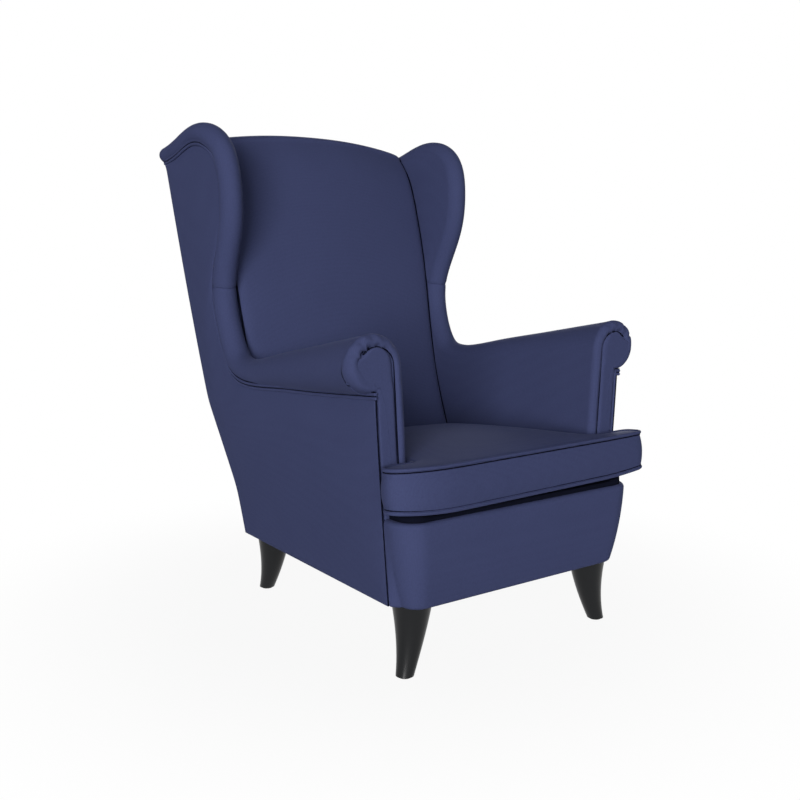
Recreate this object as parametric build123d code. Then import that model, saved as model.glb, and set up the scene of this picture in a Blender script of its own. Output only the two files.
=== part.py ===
"""Wing armchair with a loose T-shaped seat cushion, as separate solids.

Millimetres, +Z up. The chair faces -Y and stands on Z = 0, with the origin under the middle of its box.
Right is +X, as seen by someone who stands in front of the chair.
"""
import os
from math import atan, cos, degrees, hypot, radians, tan

from build123d import *

# Plan of the body
BODY_FRONT_Y = -364.0      # front plane of the arms
SEAT_NOSE = 68.0           # how far the seat front stands ahead of the arms
BACK_Y = 231.0             # outside back at its foot
BASE_HALF_FRONT = 283.0    # half width at the foot, at the front of the arms
BASE_NARROWING = 31.0      # how much less it is at the back
SHOULDER_OUT = 23.0        # how much more it is where the sides turn upright
SHOULDER_RISE = 304.0      # height of that turn above the foot of the body
SIDE_FLARE = 2.63          # outward lean of the sides above that turn, degrees

# Back
KNEE_RISE = 104.0          # height above the foot where the back starts to lean
BACK_RAKE = 15.2           # lean of the back, degrees
BACK_ARCH = 28.0           # rise of the top edge from its corners to its middle
BACK_CROWN = 16.0          # how far the middle of the inside back stands forward
BACK_DEPTH_LOW = 168.0     # inside back ahead of the outside back, at its lower edge
BACK_DEPTH_BELLY = 134.0   # the same in the hollow of the back
BACK_DEPTH_LOIN = 142.0    # the same at the waist of the wings
BACK_DEPTH_NECK = 134.0    # the same at the head
BACK_DEPTH_TOP = 100.0     # the same where the top roll starts
TOP_ROLL_DROP = 5.0        # start of the top roll below the corner of the back
SEAM_DROP = 33.0           # top of the outer panels below the corner of the back

# Wing outline: steps in height, from the root on the arm up, and depth ahead of the outside back
ROOT_RISE = 411.0
NOOK_STEP = 8.0
RISER_STEP = 48.0
WAIST_STEP = 87.0
CHEEK_STEP = 134.0
NOSE_STEP = 95.0
BROW_STEP = 78.0
CREST_STEP = 44.0
CORNER_DROP = 24.0
ROOT_DEPTH = 226.0
NOOK_DEPTH = 168.0
RISER_DEPTH = 151.0
WAIST_DEPTH = 160.0
CHEEK_DEPTH = 253.0
NOSE_DEPTH = 288.0
BROW_DEPTH = 281.0
CREST_DEPTH = 191.0
CORNER_DEPTH = 59.0
WING_TAIL = 16.0           # height of the back's top roll over the outer panels
WING_OVER = 9.0            # how far the wing roll stands over the back at its corner
RIM = 32.0                 # width of the rolled rim outside the outer panel
RIM_STAND = 1.5            # how far the rim stands out over the outer panel
RIM_ROUND = 25.0

# Arm
ROLL_FRONT_RADIUS = 58.0
ROLL_REAR_RADIUS = 30.0
ROLL_LIFT = 49.0           # front of the roll's axis above its rear
ROLL_SINK = 2.0            # the wing's root below the top of the roll
ROLL_NOSE_ROUND = 12.0
WELT_DROP_FRONT = 50.0     # welt under the roll's axis
WELT_DROP_REAR = 22.0
ARM_PAD_RISE = 168.0       # lower edge of the arm padding above the foot
ARM_SET_BACK = 2.0         # arm padding behind the front plane
ARM_SWELL = 14.0           # how much thicker the arm is at its front
FACING_DEPTH = 16.0
FACING_WIDTH = 41.0
FACING_HEAD_RADIUS = 31.0

# Layers from the outside inward
COVER = 3.0                # fabric with its wadding
BOARD = 22.0               # frame timber
PADDING = 25.0             # foam with its fabric inside the frame
CLEARANCE = 0.3            # between pieces that do not touch

# Frame timber
POST_DEPTH = 45.0
ARM_POST_DEPTH = 46.0
ARM_RAIL_HEIGHT = 40.0
SIDE_RAIL_HEIGHT = 100.0
BACK_RAIL_HEIGHT = 60.0
BACK_RAIL_RISE = 170.0     # lower back rail above the foot
CREST_RAIL_HEIGHT = 78.0
POST_TOP_DROP = 6.0        # posts and crest rail below the top of the outer panels
WING_BOARD_MARGIN = 8.0
BLOCK_LEG = 95.0
BLOCK_HEIGHT = 40.0

# Webbing and springs
STRAP_COUNT = 6
STRAP_WIDTH = 50.0
STRAP_THICKNESS = 2.0
STRAP_PITCH = 88.0
STRAP_FIRST_RISE = 275.0
SPRING_COUNT = 5
SPRING_PITCH = 92.0
SPRING_WIRE = 3.6
SPRING_WIDTH = 48.0
SPRING_LOOP_PITCH = 26.0
SPRING_LOOP_ROUND = 11.0
CLIP_WALL = 1.5
CLIP_LENGTH = 16.0

# Seat
SEAT_RISE = 176.0          # front of the seat deck above the foot
SEAT_PITCH = 4.4           # fall of the seat toward the back, degrees
DECK = 18.0
DECK_MARGIN = 8.0          # deck inside the outline of the apron and the cushion
APRON = 25.0
APRON_CORNER = 45.0
APRON_BELLY = 2.0
APRON_TUCK = 18.0

# Cushion
CUSHION_THICKNESS = 85.0
CUSHION_CROWN = 26.0
CROWN_STATIONS = 4
CROWN_FLAT = 0.40          # share of the outline that the highest station keeps
CUSHION_EAR_OUT = 26.0     # ends of the cushion outside that turn
CUSHION_SIDE_GAP = 4.5     # to the arms, room for the piping
CUSHION_REAR_GAP = 6.0
CUSHION_EAR_GAP = 5.0
CUSHION_STAND = 9.0        # cushion front ahead of the apron's front
CUSHION_LEAN = 0.36        # lean of its rear side with the inside back, run over rise
CUSHION_WRAP = 5.0         # cover with its wadding
CUSHION_SWELL = 7.0        # sides between the piped edges
CUSHION_CORNER = 16.0
CUSHION_NOSE_CORNER = 42.0 # front corners of the cushion
PIPING_RADIUS = 3.6
ZIP_LENGTH = 330.0
ZIP_WIDTH = 14.0
ZIP_THICKNESS = 1.6

# Legs
LEG_HEIGHT = 136.0
LEG_TOP_RADIUS = 38.0
LEG_TOE_RADIUS = 17.0
LEG_STATIONS = 5
LEG_SWEEP = 2.0            # power of the outward sweep from top to toe
LEG_TAPER = 1.15           # power of the taper from toe to top
FRONT_LEG_INSET = 52.0     # front leg inside the foot of the body
FRONT_LEG_BACK = 66.0      # front leg behind the seat front
FRONT_TOE_OUT = 22.0
FRONT_TOE_AHEAD = 8.0
REAR_LEG_INSET = 52.0      # rear leg inside the foot of the body
REAR_LEG_AHEAD = 40.0      # rear leg ahead of the outside back
REAR_TOE_OUT = 4.0
REAR_TOE_BEHIND = 30.0
GLIDE_RADIUS = 12.0
GLIDE_THICKNESS = 3.0
BOLT_RADIUS = 4.0
BOLT_IN_LEG = 32.0
NUT_FLANGE_RADIUS = 11.0
NUT_FLANGE = 1.6
NUT_BARREL_RADIUS = 5.5
NUT_BARREL = 10.0
DUST_COVER = 1.2
DUST_COVER_MARGIN = 9.0

# Widths, levels and planes that follow from the sizes above
BASE_HALF_REAR = BASE_HALF_FRONT - BASE_NARROWING
SHOULDER_HALF = BASE_HALF_FRONT + SHOULDER_OUT
CUSHION_EAR_HALF = SHOULDER_HALF + CUSHION_EAR_OUT
FRONT_LEG_HALF = BASE_HALF_FRONT - FRONT_LEG_INSET
REAR_LEG_HALF = BASE_HALF_REAR - REAR_LEG_INSET
BASE_Z = LEG_HEIGHT
KNEE_Z = BASE_Z + KNEE_RISE
SHOULDER_Z = BASE_Z + SHOULDER_RISE
ROOT_Z = BASE_Z + ROOT_RISE
NOOK_Z = ROOT_Z + NOOK_STEP
RISER_Z = NOOK_Z + RISER_STEP
WAIST_Z = RISER_Z + WAIST_STEP
CHEEK_Z = WAIST_Z + CHEEK_STEP
NOSE_Z = CHEEK_Z + NOSE_STEP
BROW_Z = NOSE_Z + BROW_STEP
CREST_Z = BROW_Z + CREST_STEP
CORNER_Z = CREST_Z - CORNER_DROP
BACK_TOP_Z = CORNER_Z + BACK_ARCH
SEAM_Z = CORNER_Z - SEAM_DROP
POST_TOP_Z = SEAM_Z - POST_TOP_DROP
ARM_PAD_Z = BASE_Z + ARM_PAD_RISE
AXIS_REAR_Z = ROOT_Z + ROLL_SINK - ROLL_REAR_RADIUS
AXIS_FRONT_Z = AXIS_REAR_Z + ROLL_LIFT
WELT_FRONT_Z = AXIS_FRONT_Z - WELT_DROP_FRONT
WELT_REAR_Z = AXIS_REAR_Z - WELT_DROP_REAR
SEAT_FRONT_Y = BODY_FRONT_Y - SEAT_NOSE
SEAT_FRONT_Z = BASE_Z + SEAT_RISE
BOARD_IN = COVER + BOARD
PAD_IN = BOARD_IN + PADDING
PAD_FRONT = PAD_IN + ARM_SWELL
FLARE_SLOPE = tan(radians(SIDE_FLARE))
RAKE_SLOPE = tan(radians(BACK_RAKE))
PITCH_SLOPE = tan(radians(SEAT_PITCH))
STRAP_DEPTH = COVER + POST_DEPTH - STRAP_THICKNESS
PAD_BACK_DEPTH = STRAP_DEPTH + STRAP_THICKNESS + CLEARANCE
FAR = 900.0
CEILING_Z = BASE_Z + 2 * FAR


def side_half(y, z):
    """Half width of the body at a depth and a height."""
    upright = SHOULDER_HALF + FLARE_SLOPE * (z - SHOULDER_Z)
    if z >= SHOULDER_Z:
        return upright
    along = (y - BODY_FRONT_Y) / (BACK_Y - BODY_FRONT_Y)
    foot = BASE_HALF_FRONT + (BASE_HALF_REAR - BASE_HALF_FRONT) * along
    return foot + (SHOULDER_HALF - foot) * (z - BASE_Z) / SHOULDER_RISE


def back_y(z):
    """Depth of the outside back at a height."""
    return BACK_Y + RAKE_SLOPE * max(0.0, z - KNEE_Z)


def ahead(depth, z):
    """Point of a side view that lies a depth ahead of the outside back."""
    return (back_y(z) - depth, z)


def seat_z(y):
    """Height of the top of the seat deck at a depth."""
    return SEAT_FRONT_Z - PITCH_SLOPE * (y - SEAT_FRONT_Y)


def polygon(points):
    return make_face(Polyline(*points, close=True))


def layer(outer, inner):
    """Layer of the right side between two depths under its outer surface."""
    sections = []
    for z in (BASE_Z, SHOULDER_Z, CEILING_Z):
        front = side_half(-FAR, z)
        rear = side_half(FAR, z)
        sections.append(polygon([
            (front - outer, -FAR, z),
            (rear - outer, FAR, z),
            (rear - inner, FAR, z),
            (front - inner, -FAR, z),
        ]))
    return loft(sections, ruled=True)


def inside(depth):
    """Space between both sides, a depth under their outer surfaces."""
    sections = []
    for z in (BASE_Z, SHOULDER_Z, CEILING_Z):
        front = side_half(-FAR, z) - depth
        rear = side_half(FAR, z) - depth
        sections.append(polygon([(-front, -FAR, z), (front, -FAR, z), (rear, FAR, z), (-rear, FAR, z)]))
    return loft(sections, ruled=True)


def across(*edges):
    """Prism across the whole chair from edges of a side view."""
    return extrude(make_face(edges), amount=2 * FAR, dir=(1, 0, 0))


def side_point(point):
    return (-FAR, point[0], point[1])


def side_line(*points):
    return Polyline(*[side_point(p) for p in points])


def side_curve(*points):
    return Spline(*[side_point(p) for p in points])


def back_strip(outer, inner, low, high):
    """Prism that follows the outside back between two depths and two heights."""
    levels = [low] + [z for z in (KNEE_Z,) if low < z < high] + [high]
    rear = [ahead(outer, z) for z in levels]
    front = [ahead(inner, z) for z in reversed(levels)]
    return across(side_line(*rear, *front, rear[0]))


def under_seat(depth):
    """Space below the seat deck's top, a depth square to it."""
    drop = depth / cos(radians(SEAT_PITCH))
    front = (-FAR, seat_z(-FAR) - drop)
    rear = (FAR, seat_z(FAR) - drop)
    return across(side_line(front, rear, (FAR, -FAR), (-FAR, -FAR), front))


def inset(points, distance):
    """Inner points of an outline, moved to its right by a distance."""
    moved = []
    for before, here, after in zip(points, points[1:], points[2:]):
        run = after[0] - before[0]
        rise = after[1] - before[1]
        length = hypot(run, rise)
        moved.append((here[0] + distance * rise / length, here[1] - distance * run / length))
    return moved


def block(x, y, z):
    """Box between pairs of limits."""
    size = (x[1] - x[0], y[1] - y[0], z[1] - z[0])
    return Pos(sum(x) / 2, sum(y) / 2, sum(z) / 2) * Box(*size)


def rod(centre, radius, low, high):
    return Pos(centre[0], centre[1], (low + high) / 2) * Cylinder(radius, high - low)


# Outlines of the side view
WING_EDGE = [
    ahead(ROOT_DEPTH, ROOT_Z),
    ahead(NOOK_DEPTH, NOOK_Z),
    ahead(RISER_DEPTH, RISER_Z),
    ahead(WAIST_DEPTH, WAIST_Z),
    ahead(CHEEK_DEPTH, CHEEK_Z),
    ahead(NOSE_DEPTH, NOSE_Z),
    ahead(BROW_DEPTH, BROW_Z),
    ahead(CREST_DEPTH, CREST_Z),
    ahead(CORNER_DEPTH, CORNER_Z + WING_OVER),
    ahead(0, SEAM_Z + WING_TAIL + WING_OVER),
]
ROOT_Y = WING_EDGE[0][0]
WELT_REAR = (ROOT_Y, WELT_REAR_Z)
WELT_FRONT = (BODY_FRONT_Y, WELT_FRONT_Z)


def outer_panel_space():
    """Prism of the outer side panel, from the foot to the seam round the wing and under the arm."""
    seam = inset(WING_EDGE, RIM)[1:]
    return across(
        side_line(WELT_FRONT, WELT_REAR),
        side_curve(WELT_REAR, *seam, ahead(0, SEAM_Z)),
        side_line(ahead(0, SEAM_Z), ahead(0, KNEE_Z), ahead(0, BASE_Z), (BODY_FRONT_Y, BASE_Z), WELT_FRONT),
    )


def side_slab(edges, outer, inner):
    """Flat slab in the plane of the upright side, between two depths under its outer surface."""
    plane = Plane(
        origin=(SHOULDER_HALF, 0, SHOULDER_Z), x_dir=(0, 1, 0), z_dir=(1, 0, -FLARE_SLOPE)
    ).offset(-inner)
    return extrude(plane * make_face(edges), amount=inner - outer)


def slab_points(points):
    return [(y, (z - SHOULDER_Z) / cos(radians(SIDE_FLARE))) for y, z in points]


def side_cover():
    return layer(0, COVER) & outer_panel_space()


def wing_roll():
    """Padded wing with its rolled front and top edge, from the arm up."""
    low = ROOT_Z - ROLL_REAR_RADIUS
    edge = Spline(*slab_points(WING_EDGE))
    rest = Polyline(*slab_points([
        WING_EDGE[-1],
        ahead(0, SEAM_Z),
        ahead(PAD_BACK_DEPTH, SEAM_Z),
        ahead(PAD_BACK_DEPTH, low),
        (ROOT_Y, low),
        WING_EDGE[0],
    ]))
    slab = side_slab([edge, *rest.edges()], -RIM_STAND, PAD_IN)
    rounded = slab.edges().filter_by(GeomType.LINE, reverse=True)
    return fillet(rounded, RIM_ROUND)


def arm_roll_station(y, radius, axis_z, thickness):
    centre_x = side_half(y, axis_z) - thickness + radius
    plane = Plane(origin=(centre_x, y, axis_z), x_dir=(1, 0, 0), z_dir=(0, -1, 0))
    return plane * Circle(radius)


def arm_taper():
    """Space outside the inner face of the arm, which draws back from its front to the wing's root."""
    gain = ARM_SWELL / (ROOT_Y - BODY_FRONT_Y)
    near = PAD_IN + gain * (ROOT_Y + FAR)
    far = PAD_IN + gain * (ROOT_Y - FAR)
    sections = []
    for z in (BASE_Z, CEILING_Z):
        half = SHOULDER_HALF + FLARE_SLOPE * (z - SHOULDER_Z)
        sections.append(polygon([(half - near, -FAR, z), (FAR, -FAR, z), (FAR, FAR, z), (half - far, FAR, z)]))
    return loft(sections, ruled=True)


def arm_padding():
    """Inner face of the arm with its roll, from the front to the back padding."""
    front = BODY_FRONT_Y + ARM_SET_BACK
    roll = loft([
        arm_roll_station(front, ROLL_FRONT_RADIUS, AXIS_FRONT_Z, PAD_FRONT),
        arm_roll_station(ROOT_Y, ROLL_REAR_RADIUS, AXIS_REAR_Z, PAD_IN),
    ])
    roll = fillet(roll.edges().sort_by(Axis.Y)[0], ROLL_NOSE_ROUND)
    outline = Polyline(*slab_points([
        (front, ARM_PAD_Z),
        (front, AXIS_FRONT_Z),
        (ROOT_Y, AXIS_REAR_Z),
        ahead(PAD_BACK_DEPTH, AXIS_REAR_Z),
        ahead(PAD_BACK_DEPTH, ARM_PAD_Z),
    ]), close=True).edges()
    swollen = side_slab(outline, 0, PAD_FRONT) & arm_taper()
    return roll + side_slab(outline, 0, PAD_IN) + swollen


def facing():
    """Narrow panel with a scroll head in the front of the arm."""
    levels = (ARM_PAD_Z, SHOULDER_Z, AXIS_FRONT_Z)
    outer = [(side_half(BODY_FRONT_Y + FACING_DEPTH, z) - COVER - CLEARANCE, z) for z in levels]
    inner = [(x - FACING_WIDTH, z) for x, z in reversed(outer)]
    front = Plane(origin=(0, BODY_FRONT_Y, 0), x_dir=(1, 0, 0), z_dir=(0, -1, 0))
    head_x = side_half(BODY_FRONT_Y, AXIS_FRONT_Z) - PAD_FRONT + ROLL_FRONT_RADIUS
    shape = polygon([*outer, *inner]) + Pos(head_x, AXIS_FRONT_Z) * Circle(FACING_HEAD_RADIUS)
    return extrude(front * shape, amount=-FACING_DEPTH)


def arm_and_wing():
    """Padding of one side, cut at the waist into the arm and the wing."""
    hollow = layer(-FAR, BOARD_IN) & outer_panel_space()
    wing = wing_roll()
    waist = across(side_line((-FAR, WAIST_Z), (FAR, WAIST_Z), (FAR, CEILING_Z), (-FAR, CEILING_Z), (-FAR, WAIST_Z)))
    arm = (wing - waist) + arm_padding()
    board = wing_board()
    return arm - hollow - board - facing(), (wing & waist) - hollow - board


def arm_rail_low(y):
    along = (y - BODY_FRONT_Y) / (ROOT_Y - BODY_FRONT_Y)
    top = WELT_FRONT_Z + (WELT_REAR_Z - WELT_FRONT_Z) * min(along, 1.0)
    return top - ARM_RAIL_HEIGHT


POST_FRONT_DEPTH = COVER + POST_DEPTH
ARM_POST_FRONT = BODY_FRONT_Y + FACING_DEPTH + CLEARANCE
ARM_POST_REAR = ARM_POST_FRONT + ARM_POST_DEPTH


def frame_layer(*points):
    """Board of the side frame, cut from the timber layer by an outline of the side view."""
    return layer(COVER, BOARD_IN) & across(side_line(*points, points[0]))


def arm_post():
    return frame_layer(
        (ARM_POST_FRONT, BASE_Z),
        (ARM_POST_FRONT, arm_rail_low(ARM_POST_FRONT)),
        (ARM_POST_REAR, arm_rail_low(ARM_POST_REAR)),
        (ARM_POST_REAR, BASE_Z),
    )


def arm_rail():
    low_rear = arm_rail_low(ROOT_Y)
    return frame_layer(
        (ARM_POST_FRONT, arm_rail_low(ARM_POST_FRONT)),
        (ARM_POST_FRONT, arm_rail_low(ARM_POST_FRONT) + ARM_RAIL_HEIGHT),
        WELT_REAR,
        ahead(POST_FRONT_DEPTH, WELT_REAR_Z),
        ahead(POST_FRONT_DEPTH, low_rear),
        (ROOT_Y, low_rear),
    )


def side_rail():
    high = BASE_Z + SIDE_RAIL_HEIGHT
    return frame_layer(
        (ARM_POST_REAR, BASE_Z),
        (ARM_POST_REAR, high),
        ahead(POST_FRONT_DEPTH, high),
        ahead(POST_FRONT_DEPTH, BASE_Z),
    )


def back_post():
    return layer(COVER, BOARD_IN) & back_strip(COVER, POST_FRONT_DEPTH, BASE_Z, POST_TOP_Z)


def wing_board():
    edge = inset(WING_EDGE, RIM + WING_BOARD_MARGIN)[2:-1]
    foot = (edge[0][0], WELT_REAR_Z)
    head = ahead(POST_FRONT_DEPTH, POST_TOP_Z)
    return layer(COVER, BOARD_IN) & across(
        side_line(foot, edge[0]),
        side_curve(*edge),
        side_line(edge[-1], head, ahead(POST_FRONT_DEPTH, WELT_REAR_Z), foot),
    )


def back_rail(low, high):
    return inside(BOARD_IN) & back_strip(COVER, BOARD_IN, low, high)


def back_webbing():
    space = inside(BOARD_IN)
    straps = []
    for index in range(STRAP_COUNT):
        low = BASE_Z + STRAP_FIRST_RISE + index * STRAP_PITCH
        straps.append(space & back_strip(STRAP_DEPTH, STRAP_DEPTH + STRAP_THICKNESS, low, low + STRAP_WIDTH))
    return straps


def back_pad_section(x_of, forward, lift):
    """Closed side view of the back padding at one place across the chair."""
    bottom = seat_z(BACK_Y - BACK_DEPTH_LOW)
    loin = (CHEEK_Z + WAIST_Z) / 2
    low_front = ahead(BACK_DEPTH_LOW + forward, bottom)
    low_mid = ahead(BACK_DEPTH_BELLY + forward, (bottom + loin) / 2)
    mid_front = ahead(BACK_DEPTH_LOIN + forward, loin)
    neck = ahead(BACK_DEPTH_NECK + forward, (loin + CORNER_Z) / 2)
    roll_front = ahead(BACK_DEPTH_TOP + forward / 2, CORNER_Z - TOP_ROLL_DROP + lift / 2)
    roll_rear = ahead(0, SEAM_Z + WING_TAIL)
    roll_y = (roll_front[0] + roll_rear[0]) / 2
    step_rear = ahead(0, SEAM_Z)
    step_front = ahead(PAD_BACK_DEPTH, SEAM_Z)
    low_rear = ahead(PAD_BACK_DEPTH, bottom)

    def place(point):
        return (x_of(point[1]), point[0], point[1])

    edges = [
        ThreePointArc(place(low_front), place(low_mid), place(mid_front)),
        ThreePointArc(place(mid_front), place(neck), place(roll_front)),
        ThreePointArc(place(roll_front), place((roll_y, CORNER_Z + lift)), place(roll_rear)),
        Line(place(roll_rear), place(step_rear)),
        Line(place(step_rear), place(step_front)),
        Line(place(step_front), place(low_rear)),
        Line(place(low_rear), place(low_front)),
    ]
    return make_face(edges)


def back_pad():
    def edge_x(z):
        return SHOULDER_HALF + FLARE_SLOPE * (z - SHOULDER_Z) - PAD_IN - CLEARANCE

    return loft([
        back_pad_section(lambda z: -edge_x(z), 0, 0),
        back_pad_section(lambda z: 0, BACK_CROWN, BACK_ARCH),
        back_pad_section(edge_x, 0, 0),
    ])


def outside_back():
    return inside(COVER) & back_strip(0, COVER, BASE_Z, SEAM_Z)


def apron_section(z, grow):
    """Closed plan of the apron's outside at a height."""
    half = side_half(BODY_FRONT_Y, z) + grow
    front = SEAT_FRONT_Y - grow
    bend = APRON_CORNER + grow
    corner_y = front + bend
    corner_x = half - bend
    edges = [
        Line((-half, BODY_FRONT_Y, z), (-half, corner_y, z)),
        RadiusArc((-half, corner_y, z), (-corner_x, front, z), -bend),
        Line((-corner_x, front, z), (corner_x, front, z)),
        RadiusArc((corner_x, front, z), (half, corner_y, z), -bend),
        Line((half, corner_y, z), (half, BODY_FRONT_Y, z)),
        Line((half, BODY_FRONT_Y, z), (-half, BODY_FRONT_Y, z)),
    ]
    return make_face(edges)


def apron_form(foot, belly, head):
    """Solid of the seat front, grown at its foot, middle and head."""
    middle = (BASE_Z + SEAT_FRONT_Z) / 2
    return loft([
        apron_section(BASE_Z, foot),
        apron_section(middle, belly),
        apron_section(SEAT_FRONT_Z, head),
    ])


def front_apron():
    outside = apron_form(-APRON_TUCK, APRON_BELLY, 0)
    return (outside - apron_form(-APRON, -APRON, -APRON)) & under_seat(DECK)


RAIL_FRONT_Y = SEAT_FRONT_Y + APRON
RAIL_REAR_Y = RAIL_FRONT_Y + BOARD
SPRING_DEPTH = DECK + CLIP_WALL + SPRING_WIRE / 2 + CLEARANCE
RAIL_TOP_DEPTH = SPRING_DEPTH + SPRING_WIRE / 2 + CLEARANCE


def front_rail():
    half = side_half(BODY_FRONT_Y, BASE_Z) - BOARD_IN - APRON_TUCK - APRON_CORNER / 2
    return block((-half, half), (RAIL_FRONT_Y, RAIL_REAR_Y), (BASE_Z, SEAT_FRONT_Z)) & under_seat(RAIL_TOP_DEPTH)


def rear_rail():
    return inside(BOARD_IN) & back_strip(COVER, BOARD_IN, BASE_Z, SEAT_FRONT_Z) & under_seat(RAIL_TOP_DEPTH)


LEG_TOPS = {
    "front": (FRONT_LEG_HALF, SEAT_FRONT_Y + FRONT_LEG_BACK),
    "rear": (REAR_LEG_HALF, BACK_Y - REAR_LEG_AHEAD),
}
LEG_TOES = {
    "front": (FRONT_LEG_HALF + FRONT_TOE_OUT, SEAT_FRONT_Y + FRONT_LEG_BACK - FRONT_TOE_AHEAD),
    "rear": (REAR_LEG_HALF + REAR_TOE_OUT, BACK_Y - REAR_LEG_AHEAD + REAR_TOE_BEHIND),
}


def corner_block(end):
    """Glue block in a corner of the seat frame, with the hole of the leg bolt."""
    if end == "front":
        corner_y = RAIL_REAR_Y
        way = 1
    else:
        corner_y = BACK_Y - BOARD_IN
        way = -1
    corner_x = BASE_HALF_FRONT - max(BOARD_IN, APRON)
    points = [
        (corner_x, corner_y, BASE_Z),
        (LEG_TOPS[end][0] - BLOCK_LEG / 2, corner_y, BASE_Z),
        (LEG_TOPS[end][0] - BLOCK_LEG / 2, corner_y + way * BLOCK_LEG / 2, BASE_Z),
        (LEG_TOPS[end][0], corner_y + way * BLOCK_LEG, BASE_Z),
        (corner_x, corner_y + way * BLOCK_LEG, BASE_Z),
    ]
    body = extrude(polygon(points), amount=BLOCK_HEIGHT, dir=(0, 0, 1)) & inside(BOARD_IN)
    hole = rod(LEG_TOPS[end], BOLT_RADIUS, BASE_Z, BASE_Z + BLOCK_HEIGHT)
    counter = rod(LEG_TOPS[end], NUT_BARREL_RADIUS, BASE_Z + BLOCK_HEIGHT - NUT_BARREL, BASE_Z + BLOCK_HEIGHT)
    return body - hole - counter


def leg(end):
    """Turned sabre leg: round sections whose centres sweep outward toward the toe."""
    top = LEG_TOPS[end]
    toe = LEG_TOES[end]
    sections = []
    for index in range(LEG_STATIONS):
        share = index / (LEG_STATIONS - 1)
        z = BASE_Z - share * (BASE_Z - GLIDE_THICKNESS)
        sweep_out = share ** LEG_SWEEP
        centre = [a + (b - a) * sweep_out for a, b in zip(top, toe)]
        radius = LEG_TOE_RADIUS + (LEG_TOP_RADIUS - LEG_TOE_RADIUS) * (1 - share) ** LEG_TAPER
        sections.append(Pos(centre[0], centre[1], z) * Circle(radius))
    return loft(sections) - rod(top, BOLT_RADIUS, BASE_Z - BOLT_IN_LEG, BASE_Z)


def leg_bolt(end):
    return rod(LEG_TOPS[end], BOLT_RADIUS, BASE_Z - BOLT_IN_LEG, BASE_Z + BLOCK_HEIGHT)


def leg_nut(end):
    top = BASE_Z + BLOCK_HEIGHT
    flange = rod(LEG_TOPS[end], NUT_FLANGE_RADIUS, top, top + NUT_FLANGE)
    barrel = rod(LEG_TOPS[end], NUT_BARREL_RADIUS, top - NUT_BARREL, top)
    return flange + barrel - rod(LEG_TOPS[end], BOLT_RADIUS, top - NUT_BARREL, top)


def glide(end):
    return rod(LEG_TOES[end], GLIDE_RADIUS, 0, GLIDE_THICKNESS)


def dust_cover():
    front = RAIL_FRONT_Y
    rear = BACK_Y - COVER
    front_half = side_half(front, BASE_Z) - DUST_COVER_MARGIN - APRON_TUCK - APRON_CORNER / 2
    body_half = side_half(BODY_FRONT_Y, BASE_Z) - DUST_COVER_MARGIN
    rear_half = side_half(rear, BASE_Z) - DUST_COVER_MARGIN
    low = BASE_Z - DUST_COVER
    sheet = extrude(polygon([
        (-front_half, front, low),
        (front_half, front, low),
        (body_half, BODY_FRONT_Y, low),
        (rear_half, rear, low),
        (-rear_half, rear, low),
        (-body_half, BODY_FRONT_Y, low),
    ]), amount=DUST_COVER, dir=(0, 0, 1))
    for x, y in LEG_TOPS.values():
        for side in (-1, 1):
            sheet -= rod((side * x, y), LEG_TOP_RADIUS + 2 * CLEARANCE, low, BASE_Z)
    return sheet


SEAT_PLANE = Plane(
    origin=(0, SEAT_FRONT_Y, SEAT_FRONT_Z), x_dir=(1, 0, 0), z_dir=(0, PITCH_SLOPE, 1)
)


def cushion_outline(height, shrink, ear=CUSHION_EAR_HALF, stand=CUSHION_STAND):
    """Corners of the T at a height over the seat deck, front edge first, drawn in by a distance."""
    ear_rear = SEAT_NOSE - CUSHION_EAR_GAP
    foot = BACK_Y - BACK_DEPTH_LOW - BACK_CROWN - CUSHION_REAR_GAP - SEAT_FRONT_Y
    rear = foot + CUSHION_LEAN * height
    low_z = seat_z(SEAT_FRONT_Y + foot)
    room = SHOULDER_HALF + FLARE_SLOPE * (low_z - SHOULDER_Z) - CUSHION_SIDE_GAP - shrink
    right = [
        (ear - shrink, shrink - stand),
        (ear - shrink, ear_rear - shrink),
        (room - PAD_FRONT, ear_rear - shrink),
        (room - PAD_IN - CUSHION_REAR_GAP, rear - shrink),
    ]
    return right + [(-x, y) for x, y in reversed(right)]


def rounded_t(points, inset_by, share=1.0):
    """Closed outline of the T, with wide front corners that shrink as it is drawn in, and tighter other corners."""
    others = [CUSHION_CORNER * share] * (len(points) - 2)
    nose = (CUSHION_NOSE_CORNER - inset_by) * share
    return FilletPolyline(*points, radius=[nose, *others, nose], close=True)


def cushion_section(height, shrink, share=1.0):
    """Face of the cushion at a height; a share under 1 draws it toward the root of the ears."""
    pivot = SEAT_NOSE - CUSHION_EAR_GAP - shrink
    points = [(x * share, pivot + (y - pivot) * share) for x, y in cushion_outline(height, shrink)]
    return SEAT_PLANE.offset(height) * make_face(rounded_t(points, shrink, share))


def cushion_form(depth):
    """Cushion a depth under its surface: swollen sides between the piped edges and a crowned top."""
    low = CLEARANCE + depth
    edge = CUSHION_SWELL + depth
    high = CUSHION_THICKNESS - depth
    sides = loft([
        cushion_section(low, edge),
        cushion_section((low + high) / 2, depth),
        cushion_section(high, edge),
    ])
    stations = []
    for index in range(CROWN_STATIONS):
        inward = index / (CROWN_STATIONS - 1)
        lift = CUSHION_CROWN * (1 - (1 - inward) ** 2)
        stations.append(cushion_section(high + lift, edge, 1 - (1 - CROWN_FLAT) * inward))
    return sides + loft(stations, ruled=True)


def cushion_piping():
    cords = []
    for height in (CLEARANCE + PIPING_RADIUS, CUSHION_THICKNESS):
        points = cushion_outline(height, CUSHION_SWELL)
        path = SEAT_PLANE.offset(height) * rounded_t(points, CUSHION_SWELL)
        start = path @ 0
        along = path % 0
        cords.append(sweep(Plane(origin=start, z_dir=along) * Circle(PIPING_RADIUS), path=path))
    return cords


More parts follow.
